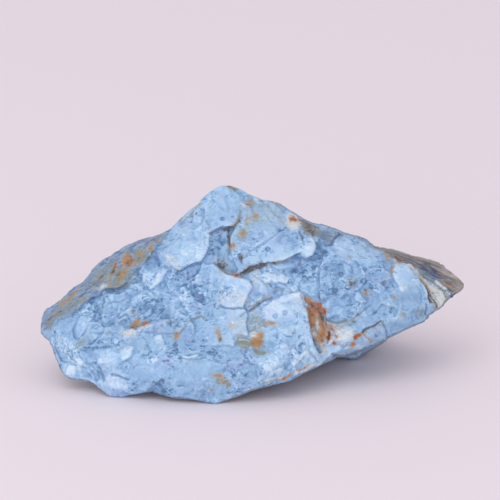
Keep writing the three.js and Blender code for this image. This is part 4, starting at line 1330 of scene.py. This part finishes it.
# Colours, 0-255 sRGB
OPAL_TONES = [
    (0.0, (78, 114, 154)), (0.25, (110, 150, 190)), (0.5, (142, 181, 217)),
    (0.75, (172, 206, 234)), (1.0, (206, 227, 242)),
]
GREENISH_VEIL, LILAC_VEIL = (150, 176, 188), (164, 176, 220)
RIND_DARK, RIND_LIGHT = (82, 108, 144), (156, 178, 202)
RIND_OLIVE, RIND_EARTH = (142, 146, 124), (134, 128, 106)
WING_TONES = [
    (0.0, (158, 150, 150)), (0.18, (136, 130, 128)), (0.28, (94, 98, 102)), (0.38, (62, 72, 104)),
    (0.54, (100, 118, 146)), (0.72, (150, 168, 184)),
]
WING_OLIVE, WING_PALE, WING_NAVY = (132, 128, 106), (186, 188, 186), (62, 70, 88)
# Colours of the cracks, also used for the painted shade lines in front of broken edges
CRACK_AND_SHADE_BLUE, CRACK_AND_SHADE_EARTH = (84, 98, 124), (84, 70, 58)
# Colour of the painted highlights (glints)
GLINT = (214, 228, 242)
FLOOR_COLOUR, ROOM_COLOUR = (231, 224, 229), (236, 230, 236)
# name, how strongly it covers, the colour of its faint edge, its full colour and its deepest colour
STAIN_COLOURS = [
    ("green", 0.80, (140, 160, 166), (144, 152, 132), (100, 112, 96)),
    ("ochre", 0.95, (158, 158, 138), (194, 148, 94), (128, 98, 58)),
    ("cream", 0.86, (184, 206, 222), (230, 232, 226), (188, 200, 206)),
    ("rust", 1.0, (168, 150, 130), (196, 120, 70), (112, 66, 42)),
    ("brown", 0.90, (118, 122, 124), (98, 84, 72), (50, 42, 38)),
]

IOR = 1.45  # of opal
GLOW_SHARE = 0.08  # how translucent the opal is
GLOW_COLOURS = (0.6, 0.8, 1.0)
GLOW_DEPTH = 0.8 * MM
BUMP_STRENGTH, BUMP_DEPTH = 0.9, 1.0 * MM


def wing_paint(n):
    """Bands along the wing from a brown top edge through navy to slate, finely streaked."""
    place = n.add("ShaderNodeCombineXYZ")
    n.put(place.inputs[0], n.field("fan"))
    n.put(place.inputs[1], n.field("fan_reach"))
    bands = n.noise(place.outputs[0], 1.7, 4.0, 0.65)
    threads = n.noise(n.moved(place.outputs[0], 7.0), 0.8, 4.0, 0.7)
    colour = n.ramp(n.total(n.field("wing_depth"), n.times(bands, 1.6)), WING_TONES)
    colour = n.over(colour, n.times(n.step(bands, 0.03, 0.10), 0.45), WING_OLIVE)
    colour = n.over(colour, n.times(n.step(threads, 0.03, 0.13), 0.6), WING_PALE)
    return n.over(colour, n.times(n.step(threads, -0.03, -0.12), 0.6), WING_NAVY)


def opal_material():
    material = bpy.data.materials.new("blue_opal")
    material.use_nodes = True
    n = Nodes(material.node_tree)
    shader = material.node_tree.nodes["Principled BSDF"]
    place = n.add("ShaderNodeTexCoord").outputs["Object"]
    scaled = n.add("ShaderNodeVectorMath", operation="SCALE")
    n.put(scaled.inputs[0], place)
    n.put(scaled.inputs["Scale"], 1.0 / MM)
    mm = scaled.outputs[0]
    rough = n.field("rough")
    grain = n.noise(mm, 0.4, 3.0, 0.6)

    # Smooth clouds, and on them clusters of dark strokes, dark blotches with darker rims and pale flakes
    cloud = n.noise(mm, 3.4, 3.0, 0.5, 0.5)
    blotch = n.noise(mm, 1.5, 4.0, 0.6, 1.2)
    stroke = n.noise(n.stretched(mm, STROKE_GRAIN, 1.7), 0.62, 3.0, 0.55, 1.0)
    flake = n.noise(n.stretched(mm, FLAKE_GRAIN, 1.5), 0.95, 3.0, 0.5, 0.8)
    mottled = n.field("mottled")
    lively = n.step(mottled, -1.0, 1.0, 0.3, 1.4)
    gather = n.total(n.noise(mm, 4.2, 3.0, 0.6), n.times(mottled, 0.08))
    dark_busy = n.total(0.35, n.step(gather, -0.05, 0.08), n.times(rough, 0.3))
    pale_busy = n.total(0.25, n.step(n.noise(n.moved(mm, 31.0), 4.8, 3.0, 0.6), -0.02, 0.10))
    blotch_share = n.step(blotch, 0.045, 0.10)
    rim = n.step(n.math("ABSOLUTE", n.math("SUBTRACT", blotch, 0.015)), 0.0, 0.016, 1.0, 0.0)
    marks = n.total(
        n.times(blotch_share, dark_busy, -0.19),
        n.times(rim, dark_busy, -0.17),
        n.times(n.step(stroke, 0.06, 0.12), dark_busy, -0.33),
        n.times(n.step(flake, 0.06, 0.10), pale_busy, 0.24),
    )
    tone = n.total(
        n.field("tone"),
        n.times(cloud, 0.40),
        n.times(grain, 0.15),
        n.times(marks, lively),
        # cracks and painted shade lines darken the tone
        n.times(n.field("dark"), -0.12),
    )
    colour = n.ramp(tone, OPAL_TONES)
    veil = n.noise(mm, 3.1, 4.0, 0.6)
    colour = n.over(colour, n.times(n.step(veil, 0.03, 0.18), 0.18), GREENISH_VEIL)
    colour = n.over(colour, n.times(n.step(veil, -0.03, -0.16), 0.22), LILAC_VEIL)

    # The weathered rind: grey-blue, with fine stripes that come and go, and earthy patches
    stripes = n.noise(n.stretched(mm, RIND_GRAIN, 6.0), 0.55, 5.0, 0.7)
    striped = n.times(stripes, n.step(n.noise(mm, 3.4, 2.0), -0.16, 0.08, 0.35, 1.0))
    striped = n.times(striped, n.step(rough, 0.3, 0.55, 1.1, 0.55))
    rind_colour = n.mix(n.step(striped, -0.12, 0.12), linear(*RIND_DARK), linear(*RIND_LIGHT))
    rind_colour = n.over(rind_colour, n.times(n.step(striped, 0.02, 0.09), 0.25), RIND_OLIVE)
    rind_share = n.step(n.total(n.field("rind"), n.times(grain, 0.9)), 0.35, 0.7)
    colour = n.mix(n.times(rind_share, 0.85), colour, rind_colour)
    earthy = n.times(rind_share, n.step(n.noise(mm, 2.6, 5.0, 0.62), 0.04, 0.14))
    colour = n.over(colour, n.times(earthy, 0.32), RIND_EARTH)
    colour = n.mix(n.step(n.field("wing"), 0.35, 0.65), colour, wing_paint(n))

    # Stains: a faint wash that reaches out round each, and a stronger broken-up middle
    vein = n.noise(n.stretched(mm, VEIN_GRAIN, 5.0), 0.6, 4.0, 0.65)
    along_rind = n.times(stripes, rind_share, 3.0)
    for index, (name, cover, wash, full, deep) in enumerate(STAIN_COLOURS):
        wobble = n.noise(n.moved(mm, 13.0 * index), 0.5, 5.0, 0.8)
        field = n.total(n.field(name), n.times(wobble, 5.0), along_rind)
        colour = n.over(colour, n.times(n.step(field, -1.2, 0.8), 0.5 * cover), wash)
        depth = n.total(n.times(wobble, 2.2), n.times(vein, 2.4), n.times(grain, 1.2))
        shade = n.mix(n.step(depth, -0.9, 0.9), linear(*deep), linear(*full))
        colour = n.mix(n.times(n.step(field, 0.15, 1.15), cover), colour, shade)

    # Cracks, some slate blue and some earthy, which also colour the painted shade lines in front of
    # broken edges; and painted highlights (glints) along the raised streaks
    crack_and_shade = n.step(n.total(n.field("dark"), n.times(grain, 0.8)), 0.25, 0.95)
    earthy_share = n.step(n.noise(mm, 3.0, 2.0), -0.05, 0.05)
    crack_and_shade_colour = n.mix(earthy_share, linear(*CRACK_AND_SHADE_BLUE), linear(*CRACK_AND_SHADE_EARTH))
    colour = n.mix(n.times(crack_and_shade, 0.8), colour, crack_and_shade_colour)
    glint = n.step(n.total(n.field("painted_glint"), n.times(grain, 0.6)), 0.2, 1.0)
    n.put(shader.inputs["Base Color"], n.over(colour, n.times(glint, 0.7), GLINT))

    n.put(shader.inputs["Roughness"], n.total(0.46, n.times(grain, 0.3), n.times(rind_share, 0.15)))
    shader.inputs["IOR"].default_value = IOR
    shader.inputs["Subsurface Weight"].default_value = GLOW_SHARE
    shader.inputs["Subsurface Radius"].default_value = GLOW_COLOURS
    shader.inputs["Subsurface Scale"].default_value = GLOW_DEPTH

    bump = n.add("ShaderNodeBump")
    ripple = n.noise(mm, 1.3, 5.0, 0.62, 0.8)
    height = n.total(
        n.times(grain, 0.10),
        n.times(ripple, 0.22),
        n.times(blotch_share, -0.02),
        n.times(stripes, rind_share, 0.12),
    )
    n.put(bump.inputs["Height"], height)
    bump.inputs["Strength"].default_value = BUMP_STRENGTH
    bump.inputs["Distance"].default_value = BUMP_DEPTH
    n.put(shader.inputs["Normal"], bump.outputs[0])
    return material


mesh.materials.clear()
mesh.materials.append(opal_material())

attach(stone, "root")
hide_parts("rough_opal")

# ---- Floor, light and camera ----

FLOOR_HALF = 3.0  # m
FLOOR_ROUGHNESS, FLOOR_SHINE = 0.6, 0.2
STONE_MIDDLE = (0.0, 0.0, 0.012)  # m
LAMP_WHITE = (1.0, 0.99, 0.99)
SENSOR = 36.0  # mm
NEAREST, FARTHEST = 0.05, 20  # m that the camera sees

floor_mesh = bpy.data.meshes.new("floor")
corners = [(-1, -1), (1, -1), (1, 1), (-1, 1)]
floor_mesh.from_pydata([(x * FLOOR_HALF, y * FLOOR_HALF, 0) for x, y in corners], [], [(0, 1, 2, 3)])
floor = new_object("floor", floor_mesh)
floor_material = bpy.data.materials.new("floor")
floor_material.use_nodes = True
floor_shader = floor_material.node_tree.nodes["Principled BSDF"]
floor_shader.inputs["Base Color"].default_value = linear(*FLOOR_COLOUR)
floor_shader.inputs["Roughness"].default_value = FLOOR_ROUGHNESS
floor_shader.inputs["Specular IOR Level"].default_value = FLOOR_SHINE
floor_mesh.materials.append(floor_material)
floor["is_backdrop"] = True


def turned(obj, direction):
    """Points an object's -Z along a direction, with its Y upwards."""
    obj.rotation_mode = "QUATERNION"
    obj.rotation_quaternion = Vector(direction).to_track_quat("-Z", "Y")


def area_light(name, place, width, height, watts):
    """A soft rectangular light aimed at the stone; places and sizes in m."""
    data = bpy.data.lights.new(name, "AREA")
    data.shape = "RECTANGLE"
    data.size, data.size_y = width, height
    data.energy = watts
    data.color = LAMP_WHITE
    light = new_object(name, data)
    light.location = place
    light.visible_camera = False
    turned(light, Vector(STONE_MIDDLE) - Vector(place))


area_light("overhead", (-0.25, -0.30, 0.55), 0.5, 0.5, 0.8)
area_light("front", (-0.20, -0.80, 0.18), 0.9, 0.36, 1.6)

world = bpy.data.worlds.new("studio")
world.use_nodes = True
background = world.node_tree.nodes["Background"]
background.inputs["Color"].default_value = linear(*ROOM_COLOUR)
background.inputs["Strength"].default_value = 1.0
bpy.context.scene.world = world
bpy.context.scene.view_settings.view_transform = "Standard"

camera_data = bpy.data.cameras.new("camera")
camera_data.sensor_width = SENSOR
camera_data.lens = SENSOR * CAMERA_DISTANCE * PX_PER_MM / PICTURE
camera_data.clip_start = NEAREST
camera_data.clip_end = FARTHEST
camera = new_object("camera", camera_data)
camera.location = CAMERA_AT * MM
turned(camera, -OUT)
bpy.context.scene.camera = camera

low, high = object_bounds()
